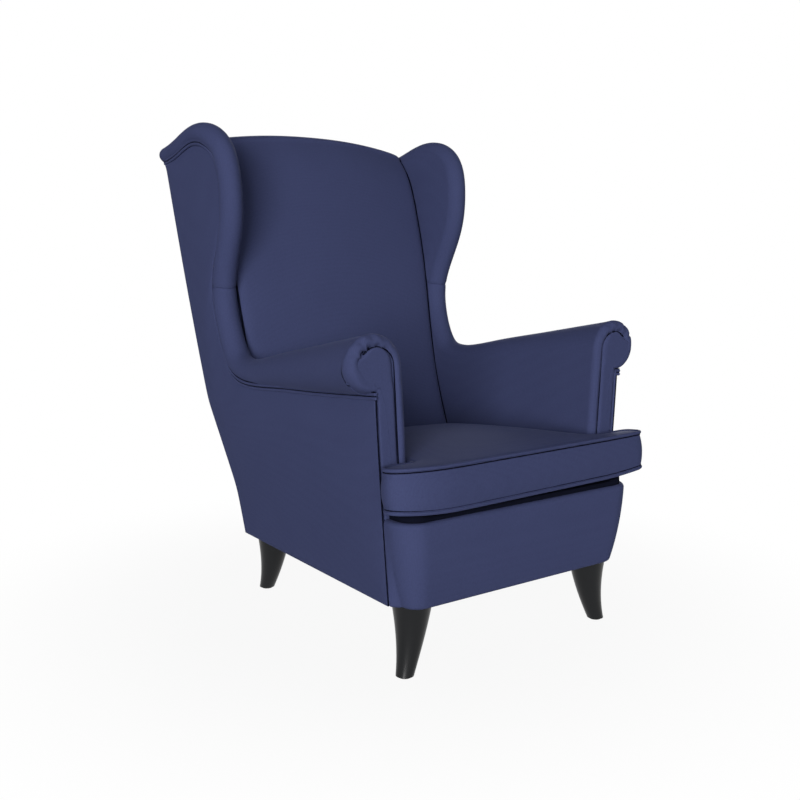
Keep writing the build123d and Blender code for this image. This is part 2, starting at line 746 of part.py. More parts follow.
def cushion_zip():
    middle = (CLEARANCE + CUSHION_THICKNESS) / 2
    rear = cushion_outline(middle, 0)[3][1]
    tape = Pos(0, ZIP_THICKNESS / 2 + CLEARANCE, 0) * Box(ZIP_LENGTH, ZIP_THICKNESS, ZIP_WIDTH)
    return SEAT_PLANE * Pos(0, rear, middle) * Rot(-degrees(atan(CUSHION_LEAN)), 0, 0) * tape


def seat_deck():
    """Padded deck under the cushion, a little smaller than the cushion."""
    ear = side_half(BODY_FRONT_Y, SEAT_FRONT_Z - DECK) - APRON_CORNER / 4
    points = cushion_outline(0, DECK_MARGIN, ear, 0)
    face = SEAT_PLANE.offset(-DECK) * make_face(rounded_t(points, DECK_MARGIN + CUSHION_STAND))
    return extrude(face, amount=DECK)


def spring_lines():
    """Places of the seat springs across the chair."""
    middle = (SPRING_COUNT - 1) / 2
    return [(index - middle) * SPRING_PITCH for index in range(SPRING_COUNT)]


SPRING_FRONT = RAIL_FRONT_Y + BOARD / 2 - SEAT_FRONT_Y
SPRING_REAR = BACK_Y - COVER - BOARD / 2 - SEAT_FRONT_Y
SPRING_TURNS = 2 * int((SPRING_REAR - SPRING_FRONT) / SPRING_LOOP_PITCH / 2) + 1


def seat_spring(x):
    """Wave of wire between the front and the rear rail, with straight bars across its ends."""
    pitch = (SPRING_REAR - SPRING_FRONT) / SPRING_TURNS
    points = []
    for index in range(SPRING_TURNS + 1):
        y = SPRING_FRONT + index * pitch
        side = 1 if index % 2 == 0 else -1
        points.append((x - side * SPRING_WIDTH / 2, y))
        points.append((x + side * SPRING_WIDTH / 2, y))
    path = SEAT_PLANE.offset(-SPRING_DEPTH) * FilletPolyline(*points, radius=SPRING_LOOP_ROUND)
    return sweep(Plane(origin=path @ 0, z_dir=path % 0) * Circle(SPRING_WIRE / 2), path=path)


def spring_clips():
    """Staples over the end bars of the springs, with both feet on the rail."""
    outer = SPRING_WIRE / 2 + CLIP_WALL
    foot = SPRING_WIRE / 2 + CLEARANCE
    shell = Pos(0, 0, (outer - foot) / 2) * Box(CLIP_LENGTH, 2 * outer, outer + foot)
    bore = Rot(0, 90, 0) * Cylinder(SPRING_WIRE / 2, 2 * CLIP_LENGTH)
    throat = Pos(0, 0, -foot) * Box(2 * CLIP_LENGTH, SPRING_WIRE, 2 * foot)
    clip = shell - bore - throat
    places = [Pos(x, y, 0) for x in spring_lines() for y in (SPRING_FRONT, SPRING_REAR)]
    return [SEAT_PLANE.offset(-SPRING_DEPTH) * place * clip for place in places]


def save(name, *shapes):
    """Write one node, which may hold several like solids."""
    solids = [solid for shape in shapes for solid in shape.solids()]
    export_step(Compound(solids), os.path.join("parts", name + ".step"))


def save_pair(name, shape):
    save(name + "_right", shape)
    save(name + "_left", mirror(shape, about=Plane.YZ))


def both_sides(make):
    """A piece of each leg position, on both sides."""
    shapes = []
    for end in LEG_TOPS:
        shape = make(end)
        shapes += [shape, mirror(shape, about=Plane.YZ)]
    return shapes


def main():
    os.makedirs("parts", exist_ok=True)

    arm, wing = arm_and_wing()
    save_pair("arm_pad", arm)
    save_pair("wing_pad", wing)
    save_pair("side_cover", side_cover())
    save_pair("arm_facing", facing())
    save_pair("arm_post", arm_post())
    save_pair("arm_rail", arm_rail())
    save_pair("side_rail", side_rail())
    save_pair("back_post", back_post())
    save_pair("wing_board", wing_board())
    for end in LEG_TOPS:
        save_pair("leg_" + end, leg(end))

    save("front_rail", front_rail())
    save("rear_rail", rear_rail())
    save("back_lower_rail", back_rail(BASE_Z + BACK_RAIL_RISE, BASE_Z + BACK_RAIL_RISE + BACK_RAIL_HEIGHT))
    save("back_crest_rail", back_rail(POST_TOP_Z - CREST_RAIL_HEIGHT, POST_TOP_Z))
    save("corner_blocks", *both_sides(corner_block))
    save("back_webbing", *back_webbing())
    save("seat_springs", *[seat_spring(x) for x in spring_lines()])
    save("spring_clips", *spring_clips())
    save("seat_deck", seat_deck())
    save("back_pad", back_pad())
    save("outside_back", outside_back())
    save("front_apron", front_apron())
    save("dust_cover", dust_cover())
    save("leg_bolts", *both_sides(leg_bolt))
    save("leg_nuts", *both_sides(leg_nut))
    save("leg_glides", *both_sides(glide))

    filling = cushion_form(CUSHION_WRAP)
    save("cushion_core", filling)
    save("cushion_cover", cushion_form(0) - filling)
    save("cushion_piping", *cushion_piping())
    save("cushion_zip", cushion_zip())


main()
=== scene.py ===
"""Navy wing armchair: padded covers, piping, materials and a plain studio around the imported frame.

Metres, +Z up, the chair faces -Y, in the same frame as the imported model.
"""

from math import pi, radians

import bmesh
import bpy
import numpy as np
from bpy.props import FloatProperty, FloatVectorProperty, PointerProperty, StringProperty
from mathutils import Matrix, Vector


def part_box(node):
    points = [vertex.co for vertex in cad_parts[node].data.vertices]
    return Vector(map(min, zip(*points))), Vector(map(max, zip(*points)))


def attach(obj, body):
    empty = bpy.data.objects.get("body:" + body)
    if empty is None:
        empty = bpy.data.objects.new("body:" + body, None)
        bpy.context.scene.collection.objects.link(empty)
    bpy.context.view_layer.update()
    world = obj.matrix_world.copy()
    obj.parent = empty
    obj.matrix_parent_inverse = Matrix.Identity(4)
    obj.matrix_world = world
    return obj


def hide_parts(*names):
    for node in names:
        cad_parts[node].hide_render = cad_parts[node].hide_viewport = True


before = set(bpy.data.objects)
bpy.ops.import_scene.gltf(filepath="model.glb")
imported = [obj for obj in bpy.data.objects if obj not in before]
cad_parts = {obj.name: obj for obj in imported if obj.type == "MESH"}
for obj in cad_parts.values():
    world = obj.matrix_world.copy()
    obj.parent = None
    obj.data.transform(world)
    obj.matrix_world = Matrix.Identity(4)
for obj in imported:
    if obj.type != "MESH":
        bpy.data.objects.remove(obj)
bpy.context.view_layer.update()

bl_info = {
    "name": "Navy Wing Armchair",
    "version": (1, 0, 0),
    "blender": (4, 5, 0),
    "location": "3D View > Sidebar > Armchair",
    "description": "Covers, cushion, finishes and studio of a wing armchair on its packed frame",
    "category": "Object",
}

# Levels and planes of the body: the first three are read from the frame where a node ends on them, the rest
# are given
BASE_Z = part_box("side_cover_right")[0][2]
ARM_FRONT_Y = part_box("side_cover_right")[0][1]
SEAM_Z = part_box("outside_back")[1][2]
SEAT_FRONT_Y = ARM_FRONT_Y - 0.068
SEAT_FRONT_Z = 0.312
BACK_FOOT_Y = 0.231
KNEE_Z = 0.240
SHOULDER_Z = 0.440
SHOULDER_HALF = 0.306
FOOT_HALF_FRONT = 0.283
FOOT_HALF_REAR = 0.252
PAD_IN = 0.050             # inner face of the wings under the outer surface
PAD_FRONT = 0.064          # the same at the front of the arms
AXIS_FRONT_Z = 0.570       # axis of the arm roll at its front
FLARE = np.tan(radians(2.63))
RAKE = np.tan(radians(15.2))
PITCH = np.tan(radians(4.4))
CHAIR = "chair"
CUSHION = "seat_cushion"
SIDES = ((-1, "left"), (1, "right"))
MIDDLE = (0, -0.1, 0.4)    # a point inside the chair
ARM_FOOT_Z = 0.290         # foot of the arm's inner face, under the cushion
STRIP = 0.0455             # width of an arm's front panel under its scroll head
HEAD = 0.034               # radius of that head
RETURN_IN = 0.030          # hidden return of arm and wing under the outer surface
BACK_FOOT_Z = 0.276        # foot of the inside back, behind the cushion
ARM_TUCK = 81              # degrees that the arm's roll turns in below its axis at the front
ARM_SLACK = 0.84           # how much of its size the roll keeps there
PLEAT = 0.0070             # depth of the pleats round the scroll head
SEAM_SINK = 0.0016         # depth of the seam at the waist
SEAM_RUN = 0.006           # how far that seam draws the cover in along the roll
WELT_CORDS = (0.001, -0.0062)                      # heights of the two cords of a welt at its seam
WELT_SHADE_LINES = {"low": -0.0026, "high": 0.0046}    # heights of the near black lines of painted shade beside them
CORD_PROUD = {"arm": 0.0024, "wing": 0.0034}       # how far the cords stand out of the side panel
SHADE_LINE_PROUD = {"arm": 0.0030, "wing": 0.0040}     # the same for those lines of painted shade
WEAVE = 0.0026             # distance of the drawn yarns

# Edge of the wing in the side view, from its root on the arm over the top to the back:
# depth ahead of the outside back, and height
WING_EDGE = np.array([
    (0.226, 0.547), (0.168, 0.555), (0.150, 0.603), (0.158, 0.690), (0.246, 0.824),
    (0.279, 0.919), (0.272, 0.999), (0.199, 1.043), (0.059, 1.019), (0.000, 1.008),
])
# Where the inner face ends behind each of those points, under the back padding: depth and height
WING_FOOT = np.array([
    (0.150, 0.300), (0.120, 0.420), (0.105, 0.560), (0.098, 0.690), (0.098, 0.826),
    (0.088, 0.915), (0.086, 0.945), (0.080, 0.960), (0.050, 0.962), (0.012, 0.960),
])
# Half thickness of the roll there, its height over the centre, its tuck in degrees, the slack of the tuck
# and the inner face under the outer surface
WING_ROLL = np.array([
    (0.0300, 0.0300, 46, 0.95, 0.050), (0.0282, 0.0300, 22, 0.97, 0.050), (0.0267, 0.0300, 7, 0.99, 0.050),
    (0.0262, 0.0300, 4, 1.00, 0.049), (0.0252, 0.0300, 4, 1.00, 0.047), (0.0247, 0.0300, 4, 1.00, 0.046),
    (0.0255, 0.0290, 14, 0.98, 0.046), (0.0290, 0.0260, 34, 0.95, 0.047), (0.0298, 0.0240, 38, 0.94, 0.048),
    (0.0298, 0.0225, 38, 0.94, 0.049),
])


class ChairSizes(bpy.types.PropertyGroup):
    """Sizes of the soft parts that a user would change."""

    roll_radius: FloatProperty(
        name="Arm Roll", description="Radius of the arm roll at its front", default=0.058, unit="LENGTH")
    lip: FloatProperty(
        name="Roll Lip", description="Rounding of the arm where it turns to its front panel",
        default=0.013, unit="LENGTH")
    back_crown: FloatProperty(
        name="Back Crown", description="How far the middle of the inside back stands forward",
        default=0.018, unit="LENGTH")
    back_arch: FloatProperty(
        name="Back Arch", description="Rise of the top edge from its corners to its middle",
        default=0.028, unit="LENGTH")
    cushion_thickness: FloatProperty(
        name="Cushion Thickness", description="Height of the cushion's sides between their piped edges",
        default=0.085, unit="LENGTH")
    cushion_crown: FloatProperty(
        name="Cushion Crown", description="Height of the cushion's middle over its top piping",
        default=0.026, unit="LENGTH")
    piping: FloatProperty(
        name="Piping", description="Radius of the cushion's piping", default=0.0036, unit="LENGTH")
    seam: FloatProperty(
        name="Seam", description="Radius of a dark cord of painted shade in a seam", default=0.0014, unit="LENGTH")
    welt: FloatProperty(
        name="Welt", description="Radius of each cord of the double welt under the arm",
        default=0.0031, unit="LENGTH")


class ChairColours(bpy.types.PropertyGroup):
    """Finishes as sRGB hex values."""

    fabric: StringProperty(name="Fabric", description="Yarn of the navy cover", default="#3c4264")
    fabric_deep: StringProperty(
        name="Fabric Deep", description="Between the yarns of the cover", default="#2e3350")
    lacquer: StringProperty(name="Lacquer", description="Black lacquer of the legs", default="#121315")
    timber: StringProperty(name="Timber", description="Planed frame timber", default="#c49a68")
    steel: StringProperty(name="Steel", description="Spring wire and bolts", default="#9a9da1")
    # The decking's blue black is partly painted shade, so the gap under the cushion reads dark
    decking_and_gap_shade: StringProperty(
        name="Decking And Gap Shade", description="Colour of the cloth under the cushion, darkened as painted shade of the gap", default="#0e101c")
    # Near black navy of the seam cords: painted shade of the seam grooves
    seam_shade: StringProperty(name="Seam Shade", description="Painted shade in the seams", default="#0c0e1c")
    lining: StringProperty(name="Lining", description="Cloth under the seat", default="#1c1d20")
    strap: StringProperty(name="Strap", description="Elastic webbing of the back", default="#2a2622")
    glide: StringProperty(name="Glide", description="Plastic glides", default="#141414")


class ChairStudio(bpy.types.PropertyGroup):
    """Light, floor and camera."""

    floor: StringProperty(name="Floor", description="Colour of the floor", default="#8f8f8f")
    key: FloatProperty(
        name="Key", description="Power of the lamp at the front left", default=950.0, unit="POWER")
    front: FloatProperty(
        name="Front", description="Power of the lamp at the front", default=225.0, unit="POWER")
    side: FloatProperty(
        name="Side", description="Power of the high lamp on the left", default=40.0, unit="POWER")
    rear: FloatProperty(
        name="Rear", description="Power of the lamp behind the right side", default=520.0, unit="POWER")
    ambient: FloatProperty(name="Ambient", description="Strength of the white room", default=0.05)
    camera_place: FloatVectorProperty(
        name="Camera", description="Place of the camera",
        default=(-1.3076, -1.7691, 0.7560), subtype="TRANSLATION")
    camera_turn: FloatProperty(
        name="Turn", description="Turn of the view to the right of +Y",
        default=radians(36.8), subtype="ANGLE")
    camera_dip: FloatProperty(
        name="Dip", description="Fall of the view below the horizon",
        default=radians(8.02), subtype="ANGLE")
    lens: FloatProperty(name="Lens", description="Focal length in millimetres", default=45.3)


def linear(code):
    """Linear RGBA of an sRGB hex colour, by the sRGB curve."""
    values = np.array([int(code[i:i + 2], 16) for i in (1, 3, 5)]) / 255
    curve = np.where(values <= 0.04045, values / 12.92, ((values + 0.055) / 1.055) ** 2.4)
    return (*curve.tolist(), 1.0)


def add_node(tree, kind, settings=(), inputs=()):
    """Add one shader node: settings are its own fields, inputs are socket values or other sockets."""
    node = tree.nodes.new(kind)
    for field, value in dict(settings).items():
        setattr(node, field, value)
    for socket, value in dict(inputs).items():
        if isinstance(value, bpy.types.NodeSocket):
            tree.links.new(value, node.inputs[socket])
        else:
            node.inputs[socket].default_value = value
    return node


def calculate(tree, operation, *values, clamp=False):
    """Output of one math node on numbers or sockets."""
    settings = {"operation": operation, "use_clamp": clamp}
    return add_node(tree, "ShaderNodeMath", settings, dict(enumerate(values))).outputs[0]


def noise(tree, place, scale, detail):
    """Output of a noise over a place, with a scale in grains per metre."""
    inputs = {"Vector": place, "Scale": scale, "Detail": detail}
    return add_node(tree, "ShaderNodeTexNoise", {}, inputs).outputs["Fac"]


def mix_colours(tree, share, low, high):
    """Colour between two, by a share."""
    inputs = {0: share, 6: low, 7: high}
    return add_node(tree, "ShaderNodeMix", {"data_type": "RGBA"}, inputs).outputs[2]


def bump(tree, height, strength, distance):
    """Normal of a fine relief."""
    inputs = {"Strength": strength, "Distance": distance, "Height": height}
    return add_node(tree, "ShaderNodeBump", {}, inputs).outputs["Normal"]


def new_material(name):
    """Empty material and its node tree."""
    material = bpy.data.materials.new(name)
    material.use_nodes = True
    material.node_tree.nodes.clear()
    return material, material.node_tree


def shaded(material, inputs):
    """Close a material with one principled shader."""
    shader = add_node(material.node_tree, "ShaderNodeBsdfPrincipled", {}, inputs)
    surface = {"Surface": shader.outputs["BSDF"]}
    add_node(material.node_tree, "ShaderNodeOutputMaterial", {}, surface)
    return material


def joined(x, y, z):
    """Points from their coordinates, each spread over the shape of all three."""
    return np.stack(np.broadcast_arrays(x, y, z), axis=-1)


def raised(flat, height):
    """Points in a plane with their heights over it."""
    return joined(flat[..., 0], flat[..., 1], height)


def soft_min(a, b, blend):
    """Smaller of two arrays, rounded where they cross over a length."""
    return -blend * np.logaddexp(-a / blend, -b / blend)


def upright(z):
    """Half width of the upright upper sides: a line that leans outward with height."""
    return SHOULDER_HALF + FLARE * (z - SHOULDER_Z)


def side_half(y, z):
    """Half width of the body: the tapering lower side and the upright upper side, whichever is narrower."""
    along = (y - ARM_FRONT_Y) / (BACK_FOOT_Y - ARM_FRONT_Y)
    foot = FOOT_HALF_FRONT + (FOOT_HALF_REAR - FOOT_HALF_FRONT) * along
    lower = foot + (SHOULDER_HALF - foot) * (z - BASE_Z) / (SHOULDER_Z - BASE_Z)
    bow = 0.0045 * np.sin(pi * np.clip((z - 0.25) / 0.72, 0, 1)) * np.clip((y + 0.05) / 0.25, 0, 1)
    return soft_min(lower, upright(z), 0.0012) + bow


def back_y(z):
    """Depth of the outside back: upright to the knee, then leaning, with a rounded bend."""
    return BACK_FOOT_Y + RAKE * 0.012 * np.logaddexp(0.0, (z - KNEE_Z) / 0.012)


def smooth_path(knots, count):
    """Natural cubic spline through knots over their chord length, from one linear solve for its bends."""
    knots = np.asarray(knots, float)
    steps = np.linalg.norm(np.diff(knots[:, :2], axis=0), axis=1)
    reach = np.concatenate(([0.0], np.cumsum(steps)))
    size = len(knots)
    inner = np.arange(1, size - 1)
    system = np.eye(size)
    system[inner, inner - 1] = steps[:-1]
    system[inner, inner] = 2 * (steps[:-1] + steps[1:])
    system[inner, inner + 1] = steps[1:]
    right = np.zeros_like(knots)
    right[1:-1] = 6 * np.diff(np.diff(knots, axis=0) / steps[:, None], axis=0)
    bend = np.linalg.solve(system, right)
    at = np.linspace(0, reach[-1], count)
    cell = np.clip(np.searchsorted(reach, at, side="right") - 1, 0, size - 2)
    step = steps[cell][:, None]
    left = (at - reach[cell])[:, None]
    rest = step - left
    cubic = (bend[cell] * rest ** 3 + bend[cell + 1] * left ** 3) / (6 * step)
    low = (knots[cell] / step - bend[cell] * step / 6) * rest
    high = (knots[cell + 1] / step - bend[cell + 1] * step / 6) * left
    return cubic + low + high, at, reach


def grid_faces(rows, columns, ring):
    """Quads between neighbours of a grid of points; ring joins the last column to the first."""
    index = np.arange(rows * columns).reshape(rows, columns)
    if ring:
        index = np.concatenate((index, index[:, :1]), axis=1)
    quads = (index[:-1, :-1], index[:-1, 1:], index[1:, 1:], index[1:, :-1])
    return np.stack(quads, axis=-1).reshape(-1, 4).tolist()


def add_surface(name, points, ring=False, capped=False, wall=0.0, inside=None):
    """Mesh object from a grid of points (rows, columns, 3).

    A capped ring is a closed skin. An open sheet faces away from the inside point and gets a wall.
    """
    rows, columns = points.shape[:2]
    faces = grid_faces(rows, columns, ring)
    if capped:
        faces.append(list(range(columns)))
        faces.append(list(range((rows - 1) * columns, rows * columns)))
    mesh = bpy.data.meshes.new(name)
    mesh.from_pydata(points.reshape(-1, 3).tolist(), [], faces)
    skin = bmesh.new()
    skin.from_mesh(mesh)
    bmesh.ops.remove_doubles(skin, verts=skin.verts, dist=1e-6)
    bmesh.ops.recalc_face_normals(skin, faces=skin.faces)
    if inside is not None:
        middle = Vector(inside)
        away = sum((f.calc_center_median() - middle).dot(f.normal) * f.calc_area() for f in skin.faces)
        if away < 0:
            bmesh.ops.reverse_faces(skin, faces=skin.faces)
    skin.to_mesh(mesh)
    skin.free()
    mesh.polygons.foreach_set("use_smooth", np.ones(len(mesh.polygons), bool))
    piece = bpy.data.objects.new(name, mesh)
    bpy.context.scene.collection.objects.link(piece)
    if wall:
        thick = piece.modifiers.new("Wall", "SOLIDIFY")
        thick.thickness = wall
        thick.offset = -1
    return piece


def add_tube(name, path, radius, closed=False, around=10):
    """Round cord: a circle carried along a path of points, square to it and kept from twisting about up."""
    ahead = np.roll(path, -1, axis=0) - np.roll(path, 1, axis=0)
    if not closed:
        ahead[0] = path[1] - path[0]
        ahead[-1] = path[-1] - path[-2]
    ahead /= np.linalg.norm(ahead, axis=1, keepdims=True)
    lead = np.array([0.31, 0.17, 0.93])
    across = np.cross(ahead, lead)
    across /= np.linalg.norm(across, axis=1, keepdims=True)
    upward = np.cross(across, ahead)
    turn = np.linspace(0, 2 * pi, around, endpoint=False)
    ring = across[:, None] * np.cos(turn)[None, :, None] + upward[:, None] * np.sin(turn)[None, :, None]
    points = path[:, None] + radius * ring
    if closed:
        points = np.concatenate((points, points[:1]))
        return add_surface(name, points, ring=True)
    tip = np.array([1.0, 0.8, 0.35])[:, None, None]
    reach = np.array([0.0, 0.6, 0.9])[:, None, None]
    start = path[0] + ring[0] * radius * tip[::-1] - ahead[0] * radius * reach[::-1]
    end = path[-1] + ring[-1] * radius * tip + ahead[-1] * radius * reach
    points = np.concatenate((start, points, end))
    return add_surface(name, points, ring=True, capped=True)


def finish_piece(piece, material, body, nodes=()):
    """Give a piece its material, hang it on its body and hide the frame nodes that it replaces."""
    piece.data.materials.clear()
    piece.data.materials.append(material)
    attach(piece, body)
    if nodes:
        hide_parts(*nodes)
    return piece


def cover_piece(piece, nodes=(), body=CHAIR):
    """Finish a piece in the navy fabric."""
    return finish_piece(piece, woven_navy_fabric(), body, nodes)


# Materials

def woven_navy_fabric():
    """Plain-woven polyester upholstery: matt navy with a faint fuzz at grazing angles."""
    # Yarns 0.9 mm apart are finer than the picture, so the weave is drawn 2.6 mm apart
    name = "plain-woven polyester, piece-dyed navy"
    if name in bpy.data.materials:
        return bpy.data.materials[name]
    colours = bpy.context.scene.chair_colours
    material, tree = new_material(name)
    place = add_node(tree, "ShaderNodeTexCoord").outputs["Object"]
    weave = 0.0
    for axis in ("X", "Y", "Z"):
        inputs = {
            "Vector": place, "Scale": pi / (10 * WEAVE), "Distortion": 0.6, "Detail": 1.0,
            "Detail Scale": 1.5,
        }
        wave = add_node(tree, "ShaderNodeTexWave", {"bands_direction": axis}, inputs)
        weave = calculate(tree, "ADD", weave, wave.outputs["Fac"])
    level = calculate(tree, "MULTIPLY_ADD", weave, 0.07, 0.20)
    level = calculate(tree, "MULTIPLY_ADD", noise(tree, place, 260.0, 2.0), 0.5, level)
    level = calculate(tree, "MULTIPLY_ADD", noise(tree, place, 9.0, 2.0), 0.22, level, clamp=True)
    return shaded(material, {
        "Base Color": mix_colours(tree, level, linear(colours.fabric_deep), linear(colours.fabric)),
        "Roughness": 0.88, "Specular IOR Level": 0.06, "Sheen Weight": 0.07, "Sheen Roughness": 0.45,
        "Sheen Tint": linear("#8f97c8"), "Normal": bump(tree, level, 0.18, 0.0006),
    })


def painted_seam_shade():
    """Painted seam shade: a near black navy for the cords laid in the seams, so that each seam reads as its
    dark shadow line.
    """
    colour = bpy.context.scene.chair_colours.seam_shade
    return plain_material("polyester, sewing thread", colour, 0.9, gloss=0.02, grain=900.0)


def plain_material(name, colour, roughness, grain, metallic=0.0, gloss=0.5, stretch=(1, 1, 1), shade=0.85):
    """Solid finish whose colour drifts a little with a noise of a given grain per metre."""
    if name in bpy.data.materials:
        return bpy.data.materials[name]
    material, tree = new_material(name)
    base = linear(colour)
    place = add_node(tree, "ShaderNodeTexCoord").outputs["Object"]
    turned = add_node(tree, "ShaderNodeMapping", {}, {"Vector": place, "Scale": stretch}).outputs["Vector"]
    drift = noise(tree, turned, grain, 3.0)
    deep = (*(c * shade for c in base[:3]), 1.0)
    return shaded(material, {
        "Base Color": mix_colours(tree, drift, deep, base), "Roughness": roughness, "Metallic": metallic,
        "Specular IOR Level": gloss, "Normal": bump(tree, drift, 0.06, 0.0004),
    })


# Arms and wings

def side_rolls(sizes, count=250):
    """Rows of the roll along the arm and round the wing, as one table of centre, foot and section sizes.

    The centre runs along the arm's axis, then inside the wing's edge by the height of the roll.
    Returns the table, the run along it, and the run at the waist where arm and wing are sewn together.
    """
    edge = np.column_stack((back_y(WING_EDGE[:, 1]) - WING_EDGE[:, 0], WING_EDGE[:, 1]))
    foot = np.column_stack((back_y(WING_FOOT[:, 1]) - WING_FOOT[:, 0], WING_FOOT[:, 1]))
    run = np.empty_like(edge)
    run[1:-1] = edge[2:] - edge[:-2]
    run[0] = (1.0, -0.02)
    run[-1] = edge[-1] - edge[-2]
    run /= np.linalg.norm(run, axis=1, keepdims=True)
    normal = np.column_stack((-run[:, 1], run[:, 0]))
    centre = edge - normal * WING_ROLL[:, 1:2]
    front = np.array([ARM_FRONT_Y + 0.002, AXIS_FRONT_Z])
    share = np.linspace(0, 1, 4, endpoint=False)[:, None]
    arm_centre = front + (centre[0] - front) * share
    arm_foot = np.column_stack((arm_centre[:, 0], np.full(4, ARM_FOOT_Z)))
    thick = sizes.roll_radius + (WING_ROLL[0, 0] - sizes.roll_radius) * share
    tuck = ARM_TUCK + (WING_ROLL[0, 2] - ARM_TUCK) * share ** 1.3
    slack = ARM_SLACK + (WING_ROLL[0, 3] - ARM_SLACK) * share
    inner = PAD_FRONT + (WING_ROLL[0, 4] - PAD_FRONT) * share
    arm = np.hstack((arm_centre, arm_foot, thick, thick, tuck, slack, inner))
    wing = np.hstack((centre, foot, WING_ROLL))
    table, at, reach = smooth_path(np.vstack((arm, wing)), count)
    for column in (4, 5, 6, 7, 8):
        table[:, column] = np.interp(at, reach, np.vstack((arm, wing))[:, column])
    run = np.gradient(table[:, 0:2], axis=0)
    run /= np.linalg.norm(run, axis=1, keepdims=True)
    return np.column_stack((table, -run[:, 1], run[:, 0])), at, reach[4 + 3]


def roll_section(table, drawn, ways):
    """Closed sections of arm or wing, one per row of the table.

    From the outer welt an elliptic roll turns over the top to the inner face, which runs on to its foot;
    the return is hidden inside. Drawn is how far each row lies under the full shape. Gives depth under
    the outer plane, y and z.
    """
    centre, foot = table[:, None, 0:2], table[:, None, 2:4]
    drawn = np.asarray(drawn)[:, None]
    thick = table[:, 4:5] - drawn
    high = table[:, 5:6] - drawn
    normal = table[:, None, 9:11]
    inner_face = table[:, 8:9]
    over, face, back = ways
    turn = np.linspace(1, 0, over)[None] * (180 + table[:, 6:7])
    beyond = np.clip((turn - 180) / table[:, 6:7], 0, 1)
    squeeze = 1 - (1 - table[:, 7:8]) * beyond ** 1.5
    depth = inner_face - table[:, 4:5] + thick * np.cos(np.radians(turn)) * squeeze
    lift = high * np.sin(np.radians(turn)) * squeeze
    roll = centre + normal * lift[..., None]
    down = np.linspace(0, 1, face + 1)[None, 1:, None]
    fall = centre + (foot - centre) * down
    fall_depth = (inner_face - drawn) + 0.003 * np.sin(pi * np.linspace(0, 1, face + 1)[1:])[None]
    rise = np.linspace(0, 1, back)[None]
    inner = foot + (roll[:, :1] - foot) * rise[..., None]
    inner_depth = RETURN_IN + (depth[:, :1] + 0.012 - RETURN_IN) * rise ** 4
    where = np.concatenate((roll, fall, inner), axis=1)
    under = np.concatenate((depth, fall_depth, inner_depth), axis=1)
    return under, where


def side_points(side, under, where):
    """Points of one side: x is the upright side's half width less the depth under it."""
    y, z = where[..., 0], where[..., 1]
    return joined(side * (upright(z) - under), y, z)


ROLL_WAYS = (46, 22, 10)


def cut_rows(table, at, kept, cut, last):
    """Keep some rows of the table and close them with one row that is worked out exactly at the cut."""
    row = np.array([[np.interp(cut, at, column) for column in table.T]])
    run, rows = at[kept], table[kept]
    if last:
        return np.append(run, cut), np.vstack((rows, row))
    return np.append(cut, run), np.vstack((row, rows))


def waist_seam(at, waist):
    """How far the seam at the waist draws the cover in: a bell along the run."""
    return SEAM_SINK * np.exp(-((at - waist) / SEAM_RUN) ** 2)


def arm_cover(side, sizes):
    """Arm from its rounded front lip to the waist of the wing."""
    table, at, waist = side_rolls(sizes)
    at, table = cut_rows(table, at, at < waist, waist, last=True)
    under, where = roll_section(table, waist_seam(at, waist), ROLL_WAYS)
    lip_turn = np.linspace(0, 1, 9)[:, None]
    lip_in = sizes.lip * (1 - np.cos(lip_turn * pi / 2))[:, 0]
    lip_out = sizes.lip * (1 - np.sin(lip_turn * pi / 2))
    front = np.repeat(table[:1], 9, axis=0)
    lip_under, lip_where = roll_section(front, lip_in, ROLL_WAYS)
    lip_where = lip_where.copy()
    angle = np.linspace(1, 0, ROLL_WAYS[0]) * (180 + ARM_TUCK)
    outward = np.zeros(lip_where.shape[1])
    outward[:ROLL_WAYS[0]] = np.clip((angle - 140) / 50, 0, 1)
    lip_where[..., 0] = ARM_FRONT_Y + 0.0005 + lip_out * (1 + outward)[None]
    tuck_under, tuck_where = roll_section(front[:2], [0.0185, 0.0235], ROLL_WAYS)
    tuck_where[..., 0] = ARM_FRONT_Y + np.array([[0.003], [0.016]]) * (1 - 0.97 * outward)[None]
    later = at > sizes.lip + 0.004
    under = np.concatenate((tuck_under[::-1], lip_under[::-1], under[later]))
    where = np.concatenate((tuck_where[::-1], lip_where[::-1], where[later]))
    over = ROLL_WAYS[0]
    pleat = -PLEAT * np.cos(np.radians(angle - 12) * 6.5) ** 12 * np.exp(-((angle - 105) / 60) ** 4)
    fade = np.exp(-(np.maximum(where[:, :1, 0] - ARM_FRONT_Y - 0.008, 0) / 0.010) ** 2)
    under[:, :over] += fade * pleat[None] * np.cos(np.radians(angle))[None]
    where[:, :over, 1] += fade * pleat[None] * np.sin(np.radians(angle))[None]
    return side_points(side, under, where)


def wing_cover(side, sizes):
    """Wing from the waist round its front and top roll to the back."""
    table, at, waist = side_rolls(sizes)
    at, table = cut_rows(table, at, at > waist, waist, last=False)
    under, where = roll_section(table, waist_seam(at, waist), ROLL_WAYS)
    return side_points(side, under, where)


def seam_path(sizes, side, proud):
    """Outer end of the roll along arm and wing, a little outside the side panel."""
    table, at, _ = side_rolls(sizes)
    _, where = roll_section(table, np.zeros(len(table)), ROLL_WAYS)
    y, z = where[:, 0, 0], where[:, 0, 1]
    return joined(side * (side_half(y, z) + proud), y, z), at


